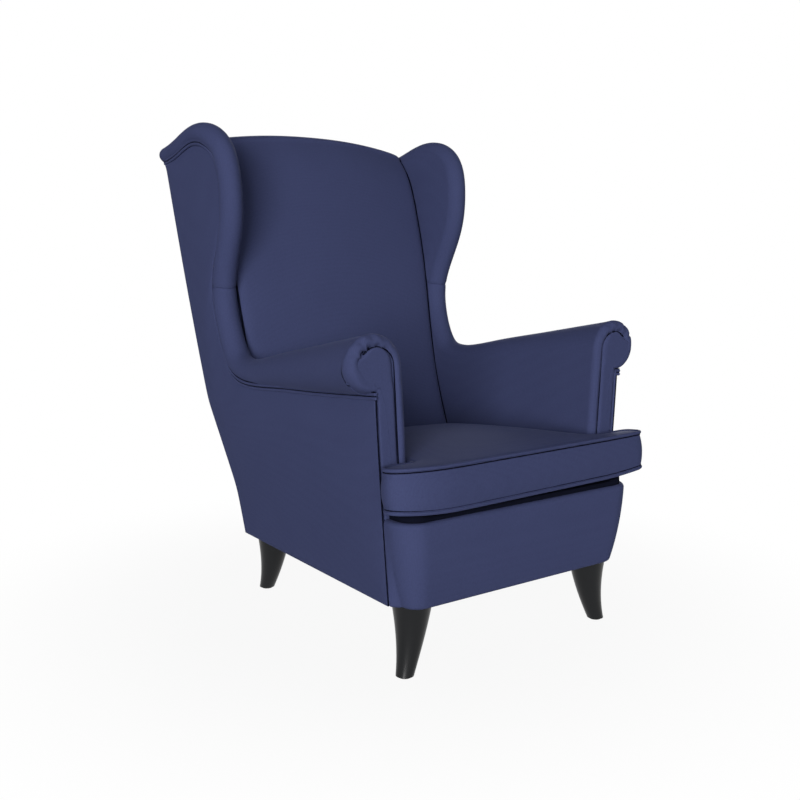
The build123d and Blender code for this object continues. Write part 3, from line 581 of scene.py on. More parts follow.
def outer_panel(side, sizes):
    """Side panel ruled between two lines of the side view.

    One runs up the front and along the seam under the roll, the other along the foot and up the back.
    """
    table, _, _ = side_rolls(sizes, 120)
    _, where = roll_section(table, np.zeros(120), ROLL_WAYS)
    seam = where[:, 0].copy()
    seam[0] = (ARM_FRONT_Y, seam[0, 1])
    lift = np.linspace(0, 1, 41, endpoint=False)[:, None]
    near = np.vstack((np.array([ARM_FRONT_Y, BASE_Z]) + lift * np.array([0, seam[0, 1] - BASE_Z]), seam))
    along = np.linspace(ARM_FRONT_Y, BACK_FOOT_Y, 70, endpoint=False)
    rise = np.linspace(BASE_Z, seam[-1, 1], len(near) - 70)
    far = np.vstack((np.column_stack((along, np.full(70, BASE_Z))), np.column_stack((back_y(rise), rise))))
    share = np.linspace(0, 1, 61)[None, :, None]
    where = near[:, None] + (far - near)[:, None] * share
    y, z = where[..., 0], where[..., 1]
    swell = 0.004 * np.sin(pi * share[..., 0]) * np.clip((z - BASE_Z) / 0.12, 0, 1) ** 0.5
    return joined(side * (side_half(y, z) + swell), y, z)


def scroll_head(sizes):
    """Middle of the scroll head across the chair, and how far the inner edge of the panel lies from it."""
    middle = upright(AXIS_FRONT_Z) - PAD_FRONT + sizes.roll_radius
    return middle, middle - (side_half(ARM_FRONT_Y, AXIS_FRONT_Z) - STRIP)


def facing_panel(side, sizes):
    """Front panel of the arm: a crowned strip under a scroll head, between two edges at each height."""
    axis_z = AXIS_FRONT_Z
    head_x, reach = scroll_head(sizes)
    turn = np.linspace(0.1, 1, 50) * pi
    z = np.concatenate((np.linspace(0.284, 0.531, 44), axis_z - HEAD * np.cos(turn)))
    chord = np.sqrt(np.maximum(HEAD ** 2 - (z - axis_z) ** 2, 0))
    outside = side_half(np.full_like(z, ARM_FRONT_Y), z) - 0.002
    strip_in = outside - (STRIP - 0.002)
    scroll = np.maximum(np.where(z < axis_z, outside, -9), head_x + chord)
    right = np.where(z < axis_z - HEAD, outside, scroll)
    soft = np.where(z > axis_z - HEAD, np.clip((z - axis_z - 0.012) / 0.014, 0, 1), 1)
    right = right + 0.006 * (1 - soft)
    left = np.where(z < axis_z, np.minimum(strip_in, head_x - chord), head_x - reach * chord / HEAD)
    share = (1 - np.cos(np.linspace(0, pi, 27)))[None] / 2
    x = left[:, None] + (right - left)[:, None] * share
    crown = 0.0140 * (1 - (2 * share - 1) ** 10 * np.where(share > 0.5, soft[:, None], 1))
    return joined(side * x, ARM_FRONT_Y + 0.0150 - crown, z[:, None])


class ARMCHAIR_OT_arms(bpy.types.Operator):
    """Make both padded arms with their rolls"""

    bl_idname = "armchair.arms"
    bl_label = "Arms"

    def execute(self, context):
        for side, word in SIDES:
            points = arm_cover(side, context.scene.chair_sizes)
            piece = add_surface("arm_cover_" + word, points, ring=True, capped=True)
            cover_piece(piece, ["arm_pad_" + word])
        return {"FINISHED"}


class ARMCHAIR_OT_wings(bpy.types.Operator):
    """Make both padded wings with their rolled edges"""

    bl_idname = "armchair.wings"
    bl_label = "Wings"

    def execute(self, context):
        for side, word in SIDES:
            points = wing_cover(side, context.scene.chair_sizes)
            piece = add_surface("wing_cover_" + word, points, ring=True, capped=True)
            cover_piece(piece, ["wing_pad_" + word])
        return {"FINISHED"}


class ARMCHAIR_OT_outer_panels(bpy.types.Operator):
    """Make the outer side panels and the front panels of the arms"""

    bl_idname = "armchair.outer_panels"
    bl_label = "Outer Panels"

    def execute(self, context):
        sizes = context.scene.chair_sizes
        for side, word in SIDES:
            points = outer_panel(side, sizes)
            panel = add_surface("side_panel_" + word, points, wall=0.003, inside=MIDDLE)
            cover_piece(panel, ["side_cover_" + word])
            points = facing_panel(side, sizes)
            face = add_surface("arm_front_panel_" + word, points, wall=0.004, inside=MIDDLE)
            cover_piece(face, ["arm_facing_" + word])
        return {"FINISHED"}


def welt_line(side, sizes, kind, height, proud):
    """Line beside the seam under the arm or over the wing, which sinks into the panel where it runs out."""
    path, at = seam_path(sizes, side, 0.0)
    if kind == "arm":
        line = path[: np.argmax(path[:, 2] > 0.590)]
        out = np.clip(np.arange(len(line))[::-1] / 22, 0, 1)
    else:
        line = path[(path[:, 2] > 0.90) & (at > at[np.argmax(path[:, 2] > 0.90)])][:-2]
        out = np.clip(np.arange(len(line)) / 22, 0, 1)
    line = line + np.array([0, 0, height])
    line[:, 0] = side * (side_half(line[:, 1], line[:, 2]) + proud * out - 0.005 * (1 - out))
    return line


class ARMCHAIR_OT_welts(bpy.types.Operator):
    """Make the double welt under each arm and over each wing"""

    bl_idname = "armchair.welts"
    bl_label = "Welts"

    def execute(self, context):
        sizes = context.scene.chair_sizes
        for side, word in SIDES:
            for kind, proud in CORD_PROUD.items():
                for number, height in enumerate(WELT_CORDS, 1):
                    line = welt_line(side, sizes, kind, height, proud)
                    cord = add_tube("%s_welt_%s_%d" % (kind, word, number), line, sizes.welt)
                    cover_piece(cord)
        return {"FINISHED"}


def front_seams(side, sizes):
    """Two seam lines of the arm's front.

    One runs up its outer edge from the foot to the welt, the other up its inner edge and over the head.
    """
    axis_z, head = AXIS_FRONT_Z, HEAD + 0.0003
    path, _ = seam_path(sizes, side, 0.0)
    z = np.linspace(BASE_Z + 0.003, path[0, 2] - 0.010, 80)
    y = np.full(80, ARM_FRONT_Y)
    outer = np.column_stack((side * (side_half(y, z) - 0.0004), y - 0.0004, z))
    z = np.linspace(0.330, axis_z - 0.002, 60)
    y = np.full(60, ARM_FRONT_Y)
    head_x, reach = scroll_head(sizes)
    chord = np.sqrt(np.maximum(head ** 2 - (z - axis_z) ** 2, 0))
    strip = np.minimum(side_half(y, z) - STRIP, np.where(z > axis_z - head, head_x - chord, 9))
    turn = np.radians(np.linspace(0, 138, 40))
    x = np.concatenate((strip, head_x - np.where(turn < pi / 2, reach, head) * np.cos(turn)))
    z = np.concatenate((z, axis_z + head * np.sin(turn)))
    inner = np.column_stack((side * x, np.full(100, ARM_FRONT_Y + 0.0045), z))
    return outer, inner


def back_seam(side, sizes):
    """Line where the inside back meets the inner face of a wing, from the seat to the top roll."""
    rows = back_pad(sizes)[:, 6:100]
    line = np.empty((rows.shape[1], 3))
    for number in range(rows.shape[1]):
        row = rows[:, number]
        reach = side * (upright(row[-1, 2]) - PAD_IN - 0.0034)
        line[number] = [np.interp(reach, row[:, 0], row[:, axis]) for axis in range(3)]
    return line - np.array([0, 0.0012, 0])


class ARMCHAIR_OT_seams(bpy.types.Operator):
    """Lay the near black cords of painted seam shade at the arm fronts, beside the welts and at the inside
    back
    """

    bl_idname = "armchair.seams"
    bl_label = "Seams"

    def execute(self, context):
        sizes = context.scene.chair_sizes
        # Every cord here is painted shade: a near black line where a seam groove lies in shadow
        seam_shade = painted_seam_shade()
        for side, word in SIDES:
            outer, inner = front_seams(side, sizes)
            lines = {"arm_outer": outer, "arm_inner": inner, "back": back_seam(side, sizes)}
            for kind, proud in SHADE_LINE_PROUD.items():
                for place, height in WELT_SHADE_LINES.items():
                    line = welt_line(side, sizes, kind, height, proud)
                    lines["%s_welt_%s" % (kind, place)] = line
            for name, line in lines.items():
                radius = sizes.seam * (1.6 if name == "back" else 1.0)
                cord = add_tube("%s_seam_%s" % (name, word), line, radius, around=8)
                finish_piece(cord, seam_shade, CHAIR)
        return {"FINISHED"}


# Back

def back_pad(sizes):
    """Inside back: closed side views side by side across the chair.

    Each is a spline up the front, over the top roll and down behind. The middle stands forward and higher,
    and both edges draw in to their seams.
    """
    across = np.sin(np.linspace(-1, 1, 91) * pi / 2)
    forward = sizes.back_crown * (1 - across ** 2)
    lift = sizes.back_arch * (1 - np.abs(across) ** 2.2)
    front = np.array([
        (0.168, BACK_FOOT_Z), (0.143, 0.400), (0.134, 0.514), (0.137, 0.640), (0.142, 0.757),
        (0.135, 0.887), (0.118, 0.970), (0.098, 1.003),
    ])
    up, over = 90, 25
    profile, _, _ = smooth_path(np.column_stack((-front[:, 0] + back_y(front[:, 1]), front[:, 1])), up)
    roll = np.linspace(0, pi, over + 2)[1:-1]
    mid_y = (profile[-1, 0] + back_y(1.0)) / 2
    half = (back_y(1.0) - profile[-1, 0]) / 2
    over_y = mid_y - half * np.sign(np.cos(roll)) * np.abs(np.cos(roll)) ** 0.9
    over_z = 1.003 + 0.0145 * np.sin(roll) ** 0.8 - 0.003 * (1 - np.cos(roll)) / 2
    rear = np.array([
        (back_y(0.985), 0.985), (back_y(0.982) - 0.05, 0.982), (back_y(0.6) - 0.05, 0.600),
        (back_y(BACK_FOOT_Z) - 0.05, BACK_FOOT_Z),
    ])
    y = np.concatenate((profile[:, 0], over_y, rear[:, 0]))
    z = np.concatenate((profile[:, 1], over_z, rear[:, 1]))
    weight_y = np.concatenate((np.ones(up), np.linspace(1, 0, over), np.zeros(4)))
    near_top = np.clip((profile[:, 1] - 0.80) / 0.2, 0, 1) ** 2
    weight_z = np.concatenate((near_top, np.ones(over), (0.6, 0, 0, 0)))
    edge = 1 - np.abs(across)
    draw = 0.024 * np.exp(-edge * 0.27 / 0.008)
    grid_y = y[None] + (draw - forward)[:, None] * weight_y[None]
    grid_z = z[None] + (lift - draw * 0.5)[:, None] * weight_z[None]
    grid_x = across[:, None] * (upright(grid_z) - PAD_IN + 0.003)
    return joined(grid_x, grid_y, grid_z)


def outside_back(sizes):
    """Outside back: follows the leaning plane under the arched top, a little full in the middle."""
    share = np.linspace(-1, 1, 61)[None]
    top = SEAM_Z + 0.003 + 0.62 * sizes.back_arch * (1 - np.abs(share) ** 2.2)
    z = BASE_Z + (top - BASE_Z) * np.linspace(0, 1, 80)[:, None]
    rise = np.clip((z - BASE_Z) / (SEAM_Z - BASE_Z), 0, 1)
    y = back_y(z) - 0.001 + 0.004 * (1 - share ** 4) * np.sin(pi * rise) ** 0.5
    x = share * (side_half(back_y(z), z) - 0.0005)
    return joined(x, y, z)


class ARMCHAIR_OT_back(bpy.types.Operator):
    """Make the inside back and the outside back"""

    bl_idname = "armchair.back"
    bl_label = "Back"

    def execute(self, context):
        sizes = context.scene.chair_sizes
        pad = add_surface("inside_back", back_pad(sizes), ring=True, capped=True)
        cover_piece(pad, ["back_pad"])
        panel = add_surface("outside_back_panel", outside_back(sizes), wall=0.003, inside=MIDDLE)
        cover_piece(panel, ["outside_back"])
        return {"FINISHED"}


# Seat

def apron():
    """Front apron: its section carried round a plan of straight sides and round corners.

    The section grows from its tucked foot over a low belly to the head, turns over both edges and
    comes back inside.
    """
    bottom, top = BASE_Z - 0.0015, SEAT_FRONT_Z - 0.014
    turn = np.linspace(0, pi / 2, 9)
    foot, edge = 0.006, 0.009
    lining, radius = -0.036, 0.050
    face_z = np.concatenate((
        bottom + foot * (1 - np.cos(turn)), np.linspace(bottom + foot, top - edge, 30)[1:-1],
        top - edge + edge * np.sin(turn)))
    rise = np.clip((face_z - BASE_Z) / (SEAT_FRONT_Z - BASE_Z), 0, 1)
    grow = -0.017 * (1 - rise) ** 2.2 + 0.006 * rise * (1 - rise)
    cut = np.concatenate((foot * (1 - np.sin(turn)), np.zeros(28), edge * (1 - np.cos(turn))))
    inner_z = np.array([top, top - 0.02, (top + bottom) / 2, bottom + 0.02, bottom])
    z = np.concatenate((face_z, inner_z))
    out = np.concatenate((grow - cut, np.full(5, lining)))
    plain = np.concatenate((-cut, np.full(5, lining)))
    side_run = np.linspace(0, 1, 12)[:, None] ** 1.6
    corner = np.linspace(0, pi / 2, 17)[1:, None]
    line = np.linspace(1, 0, 34)[1:, None]
    ease = side_run ** 1.5
    base_half = side_half(np.full_like(z, ARM_FRONT_Y), z)[None]
    half, front = base_half + out[None], SEAT_FRONT_Y - out[None]
    bend = np.maximum(radius + out[None], 0.012)
    corner_y = front + bend
    crease = 0.008 * np.exp(-side_run * 20)
    side_x = base_half + plain[None] * (1 - ease) + out[None] * ease - crease
    side_y = (ARM_FRONT_Y + 0.001) + (corner_y - ARM_FRONT_Y - 0.001) * side_run
    arc_x = half - bend + bend * np.cos(corner)
    arc_y = corner_y - bend * np.sin(corner)
    front_x = (half - bend) * line
    front_y = front + 0 * front_x
    x = np.concatenate((side_x, arc_x, front_x))
    y = np.concatenate((side_y, arc_y, front_y))
    x = np.concatenate((x, -x[-2::-1]))
    y = np.concatenate((y, y[-2::-1]))
    return joined(x, y, z[None])


def t_outline(ear, stem, front, shoulder, rear, corner, nose, sweep, heel, short, spread):
    """Closed outline of a T with rounded corners, the same number of points on every run.

    The right front corner is round. The corners of the left ear are ellipses: sweep is the front one's
    reach along the front and the side, heel the rear one's along the shoulder and the side, and that ear
    is shorter. The stem spreads to the rear.
    """
    right = [(ear, front), (ear, shoulder), (stem, shoulder), (stem, rear)]
    corners = np.array(right + [(-x, y) for x, y in reversed(right)])
    corners[6:, 0] += short
    before = np.roll(corners, 1, axis=0) - corners
    after = np.roll(corners, -1, axis=0) - corners
    before /= np.linalg.norm(before, axis=1, keepdims=True)
    after /= np.linalg.norm(after, axis=1, keepdims=True)
    turn = np.linspace(0, pi / 2, 15)[None, :, None]
    before *= np.array([nose, corner, corner, corner, corner, corner, heel[0], sweep[1]])[:, None]
    after *= np.array([nose, corner, corner, corner, corner, corner, heel[1], sweep[0]])[:, None]
    centre = corners + before + after
    bends = centre[:, None] - after[:, None] * np.cos(turn) - before[:, None] * np.sin(turn)
    start, end = bends[:, -1], np.roll(bends[:, 0], -1, axis=0)
    runs = []
    for index, count in enumerate((8, 16, 56, 70, 56, 16, 8, 90)):
        share = np.linspace(0, 1, count + 1)[1:-1, None]
        runs += [bends[index], start[index] + (end[index] - start[index]) * share]
    outline = np.vstack(runs)
    outline[:, 0] *= 1 + spread * np.clip(outline[:, 1] - shoulder, 0, None)
    return outline


def inflated(ear, stem, front, shoulder, rear, step=0.006):
    """Height of a skin that is held round the T over an even pressure: the membrane equation on a grid."""
    xs = np.arange(-ear - step, ear + 2 * step, step)
    ys = np.arange(front - step, rear + 2 * step, step)
    gx, gy = np.meshgrid(xs, ys)
    ears = (np.abs(gx) < ear) & (gy < shoulder)
    held = ~((gy > front) & (ears | (np.abs(gx) < stem) & (gy < rear)))
    height = np.zeros_like(gx)
    for _ in range(2600):
        rows = np.roll(height, 1, 0) + np.roll(height, -1, 0)
        around = (rows + np.roll(height, 1, 1) + np.roll(height, -1, 1)) / 4
        height = np.where(held, 0, around + step ** 2)
    return xs, ys, height / height.max()


def sample(xs, ys, height, x, y):
    """Height between the points of a grid, by shares of the four neighbours."""
    u = np.clip((x - xs[0]) / (xs[1] - xs[0]), 0, len(xs) - 1.001)
    v = np.clip((y - ys[0]) / (ys[1] - ys[0]), 0, len(ys) - 1.001)
    i, j = u.astype(int), v.astype(int)
    a, b = u - i, v - j
    low = height[j, i] * (1 - a) + height[j, i + 1] * a
    high = height[j + 1, i] * (1 - a) + height[j + 1, i + 1] * a
    return low * (1 - b) + high * b


# The T of the cushion in the seat's plane: across from its middle, deep from the seat's front
T_EAR = 0.344
T_STEM = 0.230
T_FRONT = -0.014
T_SHOULDER = 0.063
T_REAR = 0.473
T_LEAN = 0.36             # how far the rear leans back for each metre up
T_NOSE = 0.032            # right front corner, round
T_SWEEP = (0.140, 0.042)  # left front corner, swept along the front and along the side
T_HEEL = (0.050, 0.033)   # left rear corner of the ear, along the shoulder and along the side
T_SHORT = 0.021           # how much shorter the left ear is
T_SKEW = 0.065            # turn of the front edge
T_SPREAD = 0.075          # how much wider the stem grows for each metre to the rear
T_PIVOT = np.array([0.0, 0.050])
UNDERSIDE = 0.002         # the cushion's underside over the seat's plane
SWELL = 0.007             # how far the cushion's sides stand out past their seams
SHIFT = 0.006             # how far the front lies to the right
PINCH = (0.19, 0.15)      # where the cushion starts to thin out toward its ends, and over which length
THINNER = 0.09            # share of its thickness that is lost there
LIFT = 0.009              # how far the ends come up
PIPING_LOW = 0.0060       # axis of the lower piping
SHADE_LINE_LOW = 0.0112       # dark line of painted shade over the lower piping
SHADE_LINE_DROP = 0.0050      # dark line of painted shade under the upper piping


def on_seat(points):
    """Move points from the seat's own plane (x, depth from its front, height) into the frame."""
    x, depth, height = points[..., 0], points[..., 1], points[..., 2]
    tilt = np.arctan(PITCH)
    y = SEAT_FRONT_Y + depth * np.cos(tilt) + height * np.sin(tilt)
    z = SEAT_FRONT_Z - depth * np.sin(tilt) + height * np.cos(tilt)
    return joined(x, y, z)


def cushion_edge(height, shrink):
    """Outline of the cushion at a height, drawn in by a length."""
    return t_outline(T_EAR - shrink, T_STEM - shrink, T_FRONT + shrink, T_SHOULDER - shrink,
                     T_REAR + T_LEAN * height - shrink, 0.018, T_NOSE - shrink,
                     np.array(T_SWEEP) - shrink, np.array(T_HEEL) - shrink, T_SHORT, T_SPREAD)


def laid(points):
    """Points of the cushion as it lies: its front edge turned ahead of the shoulder, its ends pinched."""
    x, depth, height = points[..., 0], points[..., 1], points[..., 2]
    ahead = np.clip((T_SHOULDER - depth) / (T_SHOULDER - T_FRONT), 0, 1)
    end = np.clip((np.abs(x) - PINCH[0]) / PINCH[1], 0, 1) ** 2
    turned = depth + T_SKEW * x * ahead
    pinched = height * (1 - THINNER * end) + LIFT * end
    return on_seat(joined(x + SHIFT * ahead, turned, pinched))


def edge_line(height, shrink):
    """That outline as the cushion lies."""
    return laid(raised(cushion_edge(height, shrink), height))


def cushion_skin(sizes):
    """T cushion: rings from the middle of its underside out to the edge, up the side and in over the top.

    The side swells. The top rises like a skin under even pressure that is held along the piping.
    """
    thick, pivot = sizes.cushion_thickness, T_PIVOT
    low, high = cushion_edge(UNDERSIDE, SWELL), cushion_edge(thick, SWELL)
    shares = np.linspace(0.03, 1, 34)
    under = pivot + (low - pivot)[None] * shares[:, None, None]
    rise = np.linspace(0, 1, 15)[1:-1]
    levels = UNDERSIDE + (thick - UNDERSIDE) * rise
    drawn = SWELL * (1 - np.sin(pi * rise) ** 0.8)
    side = np.stack([cushion_edge(level, inward) for level, inward in zip(levels, drawn)])
    shares = np.concatenate((np.linspace(1, 0.9, 12), np.linspace(0.9, 0.03, 40)[1:]))
    over = pivot + (high - pivot)[None] * shares[:, None, None]
    rear = T_REAR + T_LEAN * thick - SWELL
    grid = inflated(T_EAR - SWELL, T_STEM - SWELL, T_FRONT + SWELL, T_SHOULDER - SWELL, rear)
    crown = sizes.cushion_crown * sample(*grid, over[..., 0], over[..., 1]) ** 0.62
    skin = (raised(under, UNDERSIDE), raised(side, levels[:, None]), raised(over, thick + crown))
    return laid(np.concatenate(skin))


def swell_with_cloth(piece, held, voxel, cap):
    """Blow a closed skin up as cloth: remesh it, hold the points near its seams and let air press out.

    Held is the seam points and the distance. The move of each point is capped, and the result becomes
    the mesh.
    """
    scene = bpy.context.scene
    remesh = piece.modifiers.new("Remesh", "REMESH")
    remesh.mode = "VOXEL"
    remesh.voxel_size = voxel
    graph = bpy.context.evaluated_depsgraph_get()
    mesh = bpy.data.meshes.new_from_object(piece.evaluated_get(graph))
    piece.modifiers.clear()
    piece.data = mesh
    start = np.empty(len(mesh.vertices) * 3)
    mesh.vertices.foreach_get("co", start)
    start = start.reshape(-1, 3)
    lines, reach = held
    near = np.full(len(start), np.inf)
    for part in np.array_split(lines, 12):
        near = np.minimum(near, np.linalg.norm(start[:, None] - part[None], axis=2).min(axis=1))
    group = piece.vertex_groups.new(name="seams")
    group.add(np.flatnonzero(near < reach).tolist(), 1.0, "REPLACE")
    cloth = piece.modifiers.new("Cloth", "CLOTH")
    cloth.settings.vertex_group_mass = "seams"
    cloth.settings.use_pressure = True
    cloth.settings.uniform_pressure_force = 4.0
    cloth.settings.tension_stiffness = 25.0
    cloth.settings.compression_stiffness = 25.0
    cloth.settings.bending_stiffness = 2.0
    cloth.settings.effector_weights.gravity = 0.0
    for number in range(1, 21):
        scene.frame_set(number)
    graph = bpy.context.evaluated_depsgraph_get()
    moved = np.empty(len(start) * 3)
    piece.evaluated_get(graph).data.vertices.foreach_get("co", moved)
    move = moved.reshape(-1, 3) - start
    length = np.linalg.norm(move, axis=1, keepdims=True)
    move *= np.minimum(1.0, cap / np.maximum(length, 1e-9))
    piece.modifiers.clear()
    piece.vertex_groups.clear()
    mesh.vertices.foreach_set("co", (start + move).ravel())
    mesh.polygons.foreach_set("use_smooth", np.ones(len(mesh.polygons), bool))
    mesh.update()
    scene.frame_set(1)
    smooth = piece.modifiers.new("Smooth", "SMOOTH")
    smooth.factor = 0.5
    smooth.iterations = 4


def seat_deck():
    """Deck under the cushion: rings of a T that sink toward the rim and rise under the cushion's ears."""
    outline = t_outline(
        ear=0.282, stem=0.232, front=0.009, shoulder=0.068, rear=0.520, corner=0.003, nose=0.036,
        sweep=(0.036, 0.036), heel=(0.003, 0.003), short=0.0, spread=0.14)
    shares = np.linspace(0.03, 1, 24)[::-1]
    rings = T_PIVOT + (outline - T_PIVOT)[None] * shares[:, None, None]
    x, depth = np.abs(rings[..., 0]), rings[..., 1]
    ears = np.clip((x - 0.225) / 0.035, 0, 1) * np.clip((0.075 - depth) / 0.010, 0, 1)
    height = -0.004 * (1 - (1 - shares) ** 2) - 0.0005
    height = height[:, None] + 0.008 * ears
    top = raised(rings, height)
    floor = top[[-1, 0]] * np.array([1, 1, 0]) + np.array([0, 0, -0.0175])
    return on_seat(np.concatenate((floor, top)))


class ARMCHAIR_OT_seat(bpy.types.Operator):
    """Make the apron and the seat deck"""

    bl_idname = "armchair.seat"
    bl_label = "Seat"

    def execute(self, context):
        front = add_surface("front_apron_cover", apron(), ring=True, capped=True)
        cover_piece(front, ["front_apron"])
        deck = add_surface("seat_deck_cover", seat_deck(), ring=True, capped=True)
        # Decking cloth, plain woven, dull blue black: partly the cloth's own colour, partly painted shade
        # that keeps the gap under the cushion dark
        colour = context.scene.chair_colours.decking_and_gap_shade
        cloth = plain_material("cotton, plain woven decking", colour, 0.95, gloss=0.02, grain=900.0)
        finish_piece(deck, cloth, CHAIR, ["seat_deck"])
        return {"FINISHED"}


class ARMCHAIR_OT_cushion(bpy.types.Operator):
    """Make the loose T cushion with its piping and the dark lines of painted shade at its seams"""

    bl_idname = "armchair.cushion"
    bl_label = "Cushion"

    def execute(self, context):
        sizes = context.scene.chair_sizes
        thick = sizes.cushion_thickness
        cushion = add_surface("seat_cushion_cover", cushion_skin(sizes), ring=True, capped=True)
        seams = np.vstack([edge_line(height, SWELL) for height in (UNDERSIDE, thick)])
        swell_with_cloth(cushion, (seams, 0.007), 0.006, 0.012)
        cover_piece(cushion, ["cushion_cover", "cushion_core", "cushion_zip"], CUSHION)
        for word, height, nodes in (("lower", PIPING_LOW, []), ("upper", thick, ["cushion_piping"])):
            line = edge_line(height, SWELL - 0.001)
            cord = add_tube(word + "_cushion_piping", line, sizes.piping, closed=True)
            cover_piece(cord, nodes, body=CUSHION)
        # Near black cords beside the piping: painted shade of the piping's shadow lines
        for word, height in (("lower", SHADE_LINE_LOW), ("upper", thick - SHADE_LINE_DROP)):
            line = edge_line(height, SWELL * 0.74)
            cord = add_tube(word + "_cushion_seam", line, sizes.seam * 0.8, closed=True, around=8)
            finish_piece(cord, painted_seam_shade(), CUSHION)
        return {"FINISHED"}


class ARMCHAIR_OT_frame_finishes(bpy.types.Operator):
    """Give the legs, timber, springs and lining their materials"""

    bl_idname = "armchair.frame_finishes"
    bl_label = "Frame Finishes"

    def execute(self, context):
        colours = context.scene.chair_colours
        # Sprayed lacquer on turned beech: black, even, with a soft satin highlight
        name = "satin lacquer, sprayed on beech"
        lacquer = plain_material(name, colours.lacquer, 0.30, gloss=0.20, grain=60.0)
        # Planed softwood: pale brown with a stretched grain
        name = "pine, planed"
        timber = plain_material(name, colours.timber, 0.7, grain=40.0, stretch=(1, 1, 0.1), shade=0.7)
        # Drawn spring wire and zinc-plated bolts: grey with a broad highlight
        steel = plain_material("spring steel, drawn", colours.steel, 0.38, metallic=1.0, grain=220.0)
        # Spun-bonded lining: dull black
        lining = plain_material("polypropylene, spun-bonded", colours.lining, 0.95, grain=500.0)
        # Woven elastic strap: dull brown black
        strap = plain_material("elastic webbing, woven", colours.strap, 0.9, grain=300.0)
        # Moulded plastic: black with a dull gloss
        glide = plain_material("polyethylene, moulded", colours.glide, 0.5, grain=400.0)
        kinds = {
            "leg_front": lacquer, "leg_rear": lacquer, "leg_glides": glide, "leg_bolts": steel,
            "leg_nuts": steel, "seat_springs": steel, "spring_clips": steel, "back_webbing": strap,
            "dust_cover": lining,
        }
        for name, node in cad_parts.items():
            kind = name.removesuffix("_left").removesuffix("_right")
            node.data.materials.clear()
            node.data.materials.append(kinds.get(kind, timber))
        return {"FINISHED"}


# Place and size of each lamp
LAMPS = {
    "key": ((-6.6, -6.0, 1.7), 4.0), "front": ((-1.3, -8.3, 1.6), 5.0), "side": ((-7.5, -2.2, 6.0), 5.0),
    "rear": ((6.4, 5.6, 2.4), 5.0),
}
FLOOR_REACH = 14.0


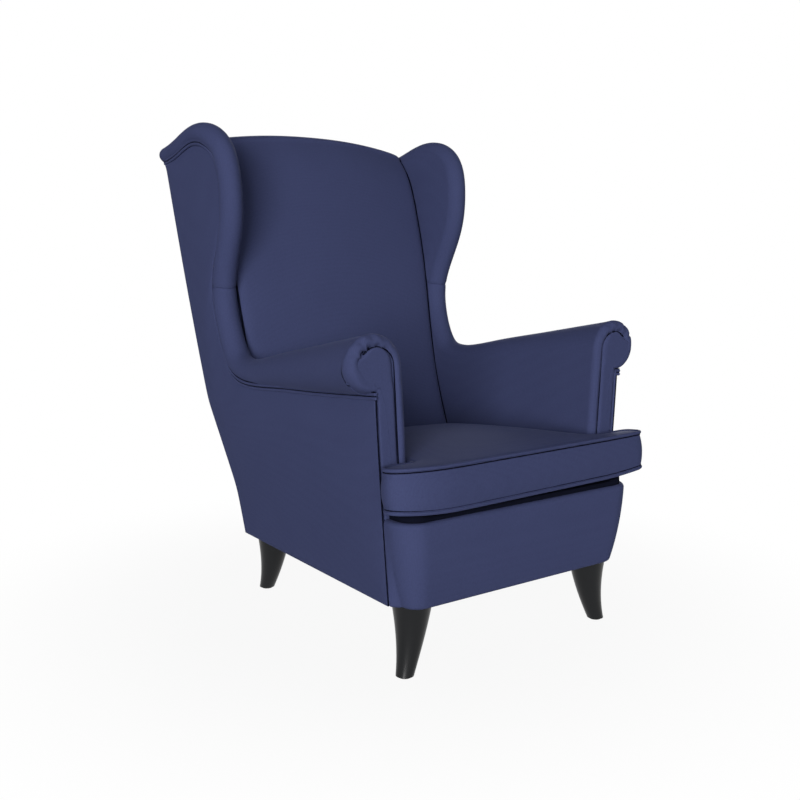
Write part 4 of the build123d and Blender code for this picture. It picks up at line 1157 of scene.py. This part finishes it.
class ARMCHAIR_OT_stage(bpy.types.Operator):
    """Make the floor, the lamps, the room light and the camera"""

    bl_idname = "armchair.stage"
    bl_label = "Stage"

    def execute(self, context):
        scene = context.scene
        studio = scene.chair_studio
        scene.view_settings.view_transform = "Standard"
        self.add_floor(linear(studio.floor))
        self.add_world(scene, studio.ambient)
        for kind, (place, size) in LAMPS.items():
            self.add_lamp(kind + " lamp", place, size, getattr(studio, kind))
        camera = bpy.data.objects.new("camera", bpy.data.cameras.new("camera"))
        camera.data.lens = studio.lens
        camera.location = studio.camera_place
        camera.rotation_euler = (pi / 2 - studio.camera_dip, 0, -studio.camera_turn)
        scene.collection.objects.link(camera)
        scene.camera = camera
        return {"FINISHED"}

    def add_floor(self, colour):
        """Matt white paper: where it is seen it fades to full white, with a soft shadow at the chair."""
        material, tree = new_material("paper, matt white")
        seen = self.seen(tree)
        place = add_node(tree, "ShaderNodeTexCoord").outputs["Object"]
        away = add_node(tree, "ShaderNodeVectorMath", {"operation": "LENGTH"}, {0: place}).outputs["Value"]
        fade = add_node(
            tree, "ShaderNodeMapRange", {"interpolation_type": "SMOOTHSTEP"},
            {"Value": away, "From Min": 0.35, "From Max": 1.15, "To Min": 0.93, "To Max": 1.0})
        share = calculate(tree, "MULTIPLY", seen, fade.outputs["Result"])
        paper = add_node(tree, "ShaderNodeBsdfDiffuse", {}, {"Color": colour})
        white = add_node(tree, "ShaderNodeEmission", {}, {"Color": (1, 1, 1, 1), "Strength": 1.0})
        shaders = {0: share, 1: paper.outputs["BSDF"], 2: white.outputs["Emission"]}
        mixed = add_node(tree, "ShaderNodeMixShader", {}, shaders)
        add_node(tree, "ShaderNodeOutputMaterial", {}, {"Surface": mixed.outputs["Shader"]})
        corners = [(FLOOR_REACH * x, FLOOR_REACH * y, 0) for x, y in ((-1, -1), (1, -1), (1, 1), (-1, 1))]
        mesh = bpy.data.meshes.new("floor")
        mesh.from_pydata(corners, [], [(0, 1, 2, 3)])
        floor = bpy.data.objects.new("floor", mesh)
        mesh.materials.append(material)
        bpy.context.scene.collection.objects.link(floor)

    def seen(self, tree):
        """1 for rays from the camera, in gloss and through glass, 0 for light that falls on the chair."""
        path = add_node(tree, "ShaderNodeLightPath")
        value = path.outputs["Is Camera Ray"]
        for kind in ("Is Glossy Ray", "Is Transmission Ray"):
            value = calculate(tree, "MAXIMUM", value, path.outputs[kind])
        return value

    def add_world(self, scene, strength):
        """White room: a plain strength for the object, less overhead, and full white where it is seen."""
        world = bpy.data.worlds.new("white room")
        world.use_nodes = True
        tree = world.node_tree
        tree.nodes.clear()
        way = add_node(tree, "ShaderNodeTexCoord").outputs["Generated"]
        rise = add_node(tree, "ShaderNodeSeparateXYZ", {}, {0: way}).outputs["Z"]
        inputs = {
            "Value": rise, "From Min": 0.0, "From Max": 1.0, "To Min": strength, "To Max": strength * 0.3,
        }
        dim = add_node(tree, "ShaderNodeMapRange", {}, inputs).outputs[0]
        inputs = {0: self.seen(tree), 2: dim, 3: 1.0}
        level = add_node(tree, "ShaderNodeMix", {"data_type": "FLOAT"}, inputs).outputs[0]
        light = add_node(tree, "ShaderNodeBackground", {}, {"Color": (1, 1, 1, 1), "Strength": level})
        add_node(tree, "ShaderNodeOutputWorld", {}, {"Surface": light.outputs["Background"]})
        scene.world = world

    def add_lamp(self, name, place, size, power):
        """Square lamp that looks at the middle of the seat."""
        lamp = bpy.data.lights.new(name, "AREA")
        lamp.size = size
        lamp.energy = power
        holder = bpy.data.objects.new(name, lamp)
        holder.location = place
        holder.rotation_euler = (Vector((0, 0, 0.5)) - Vector(place)).to_track_quat("-Z", "Y").to_euler()
        bpy.context.scene.collection.objects.link(holder)


class ARMCHAIR_PT_panel(bpy.types.Panel):
    """Lists the operators in the order that builds the chair"""

    bl_idname = "ARMCHAIR_PT_panel"
    bl_label = "Wing Armchair"
    bl_space_type = "VIEW_3D"
    bl_region_type = "UI"
    bl_category = "Armchair"

    def draw(self, context):
        for step in STEPS:
            self.layout.operator("armchair." + step)


STEPS = (
    "frame_finishes", "arms", "wings", "outer_panels", "welts", "seams", "back", "seat", "cushion", "stage",
)
CLASSES = (
    ChairSizes, ChairColours, ChairStudio, ARMCHAIR_OT_arms, ARMCHAIR_OT_wings, ARMCHAIR_OT_outer_panels,
    ARMCHAIR_OT_welts, ARMCHAIR_OT_seams, ARMCHAIR_OT_back, ARMCHAIR_OT_seat, ARMCHAIR_OT_cushion,
    ARMCHAIR_OT_frame_finishes, ARMCHAIR_OT_stage, ARMCHAIR_PT_panel,
)


def register():
    for kind in CLASSES:
        bpy.utils.register_class(kind)
    bpy.types.Scene.chair_sizes = PointerProperty(type=ChairSizes)
    bpy.types.Scene.chair_colours = PointerProperty(type=ChairColours)
    bpy.types.Scene.chair_studio = PointerProperty(type=ChairStudio)


def unregister():
    del bpy.types.Scene.chair_studio
    del bpy.types.Scene.chair_colours
    del bpy.types.Scene.chair_sizes
    for kind in reversed(CLASSES):
        bpy.utils.unregister_class(kind)


def main():
    register()
    for step in STEPS:
        getattr(bpy.ops.armchair, step)()


if __name__ == "__main__":
    main()
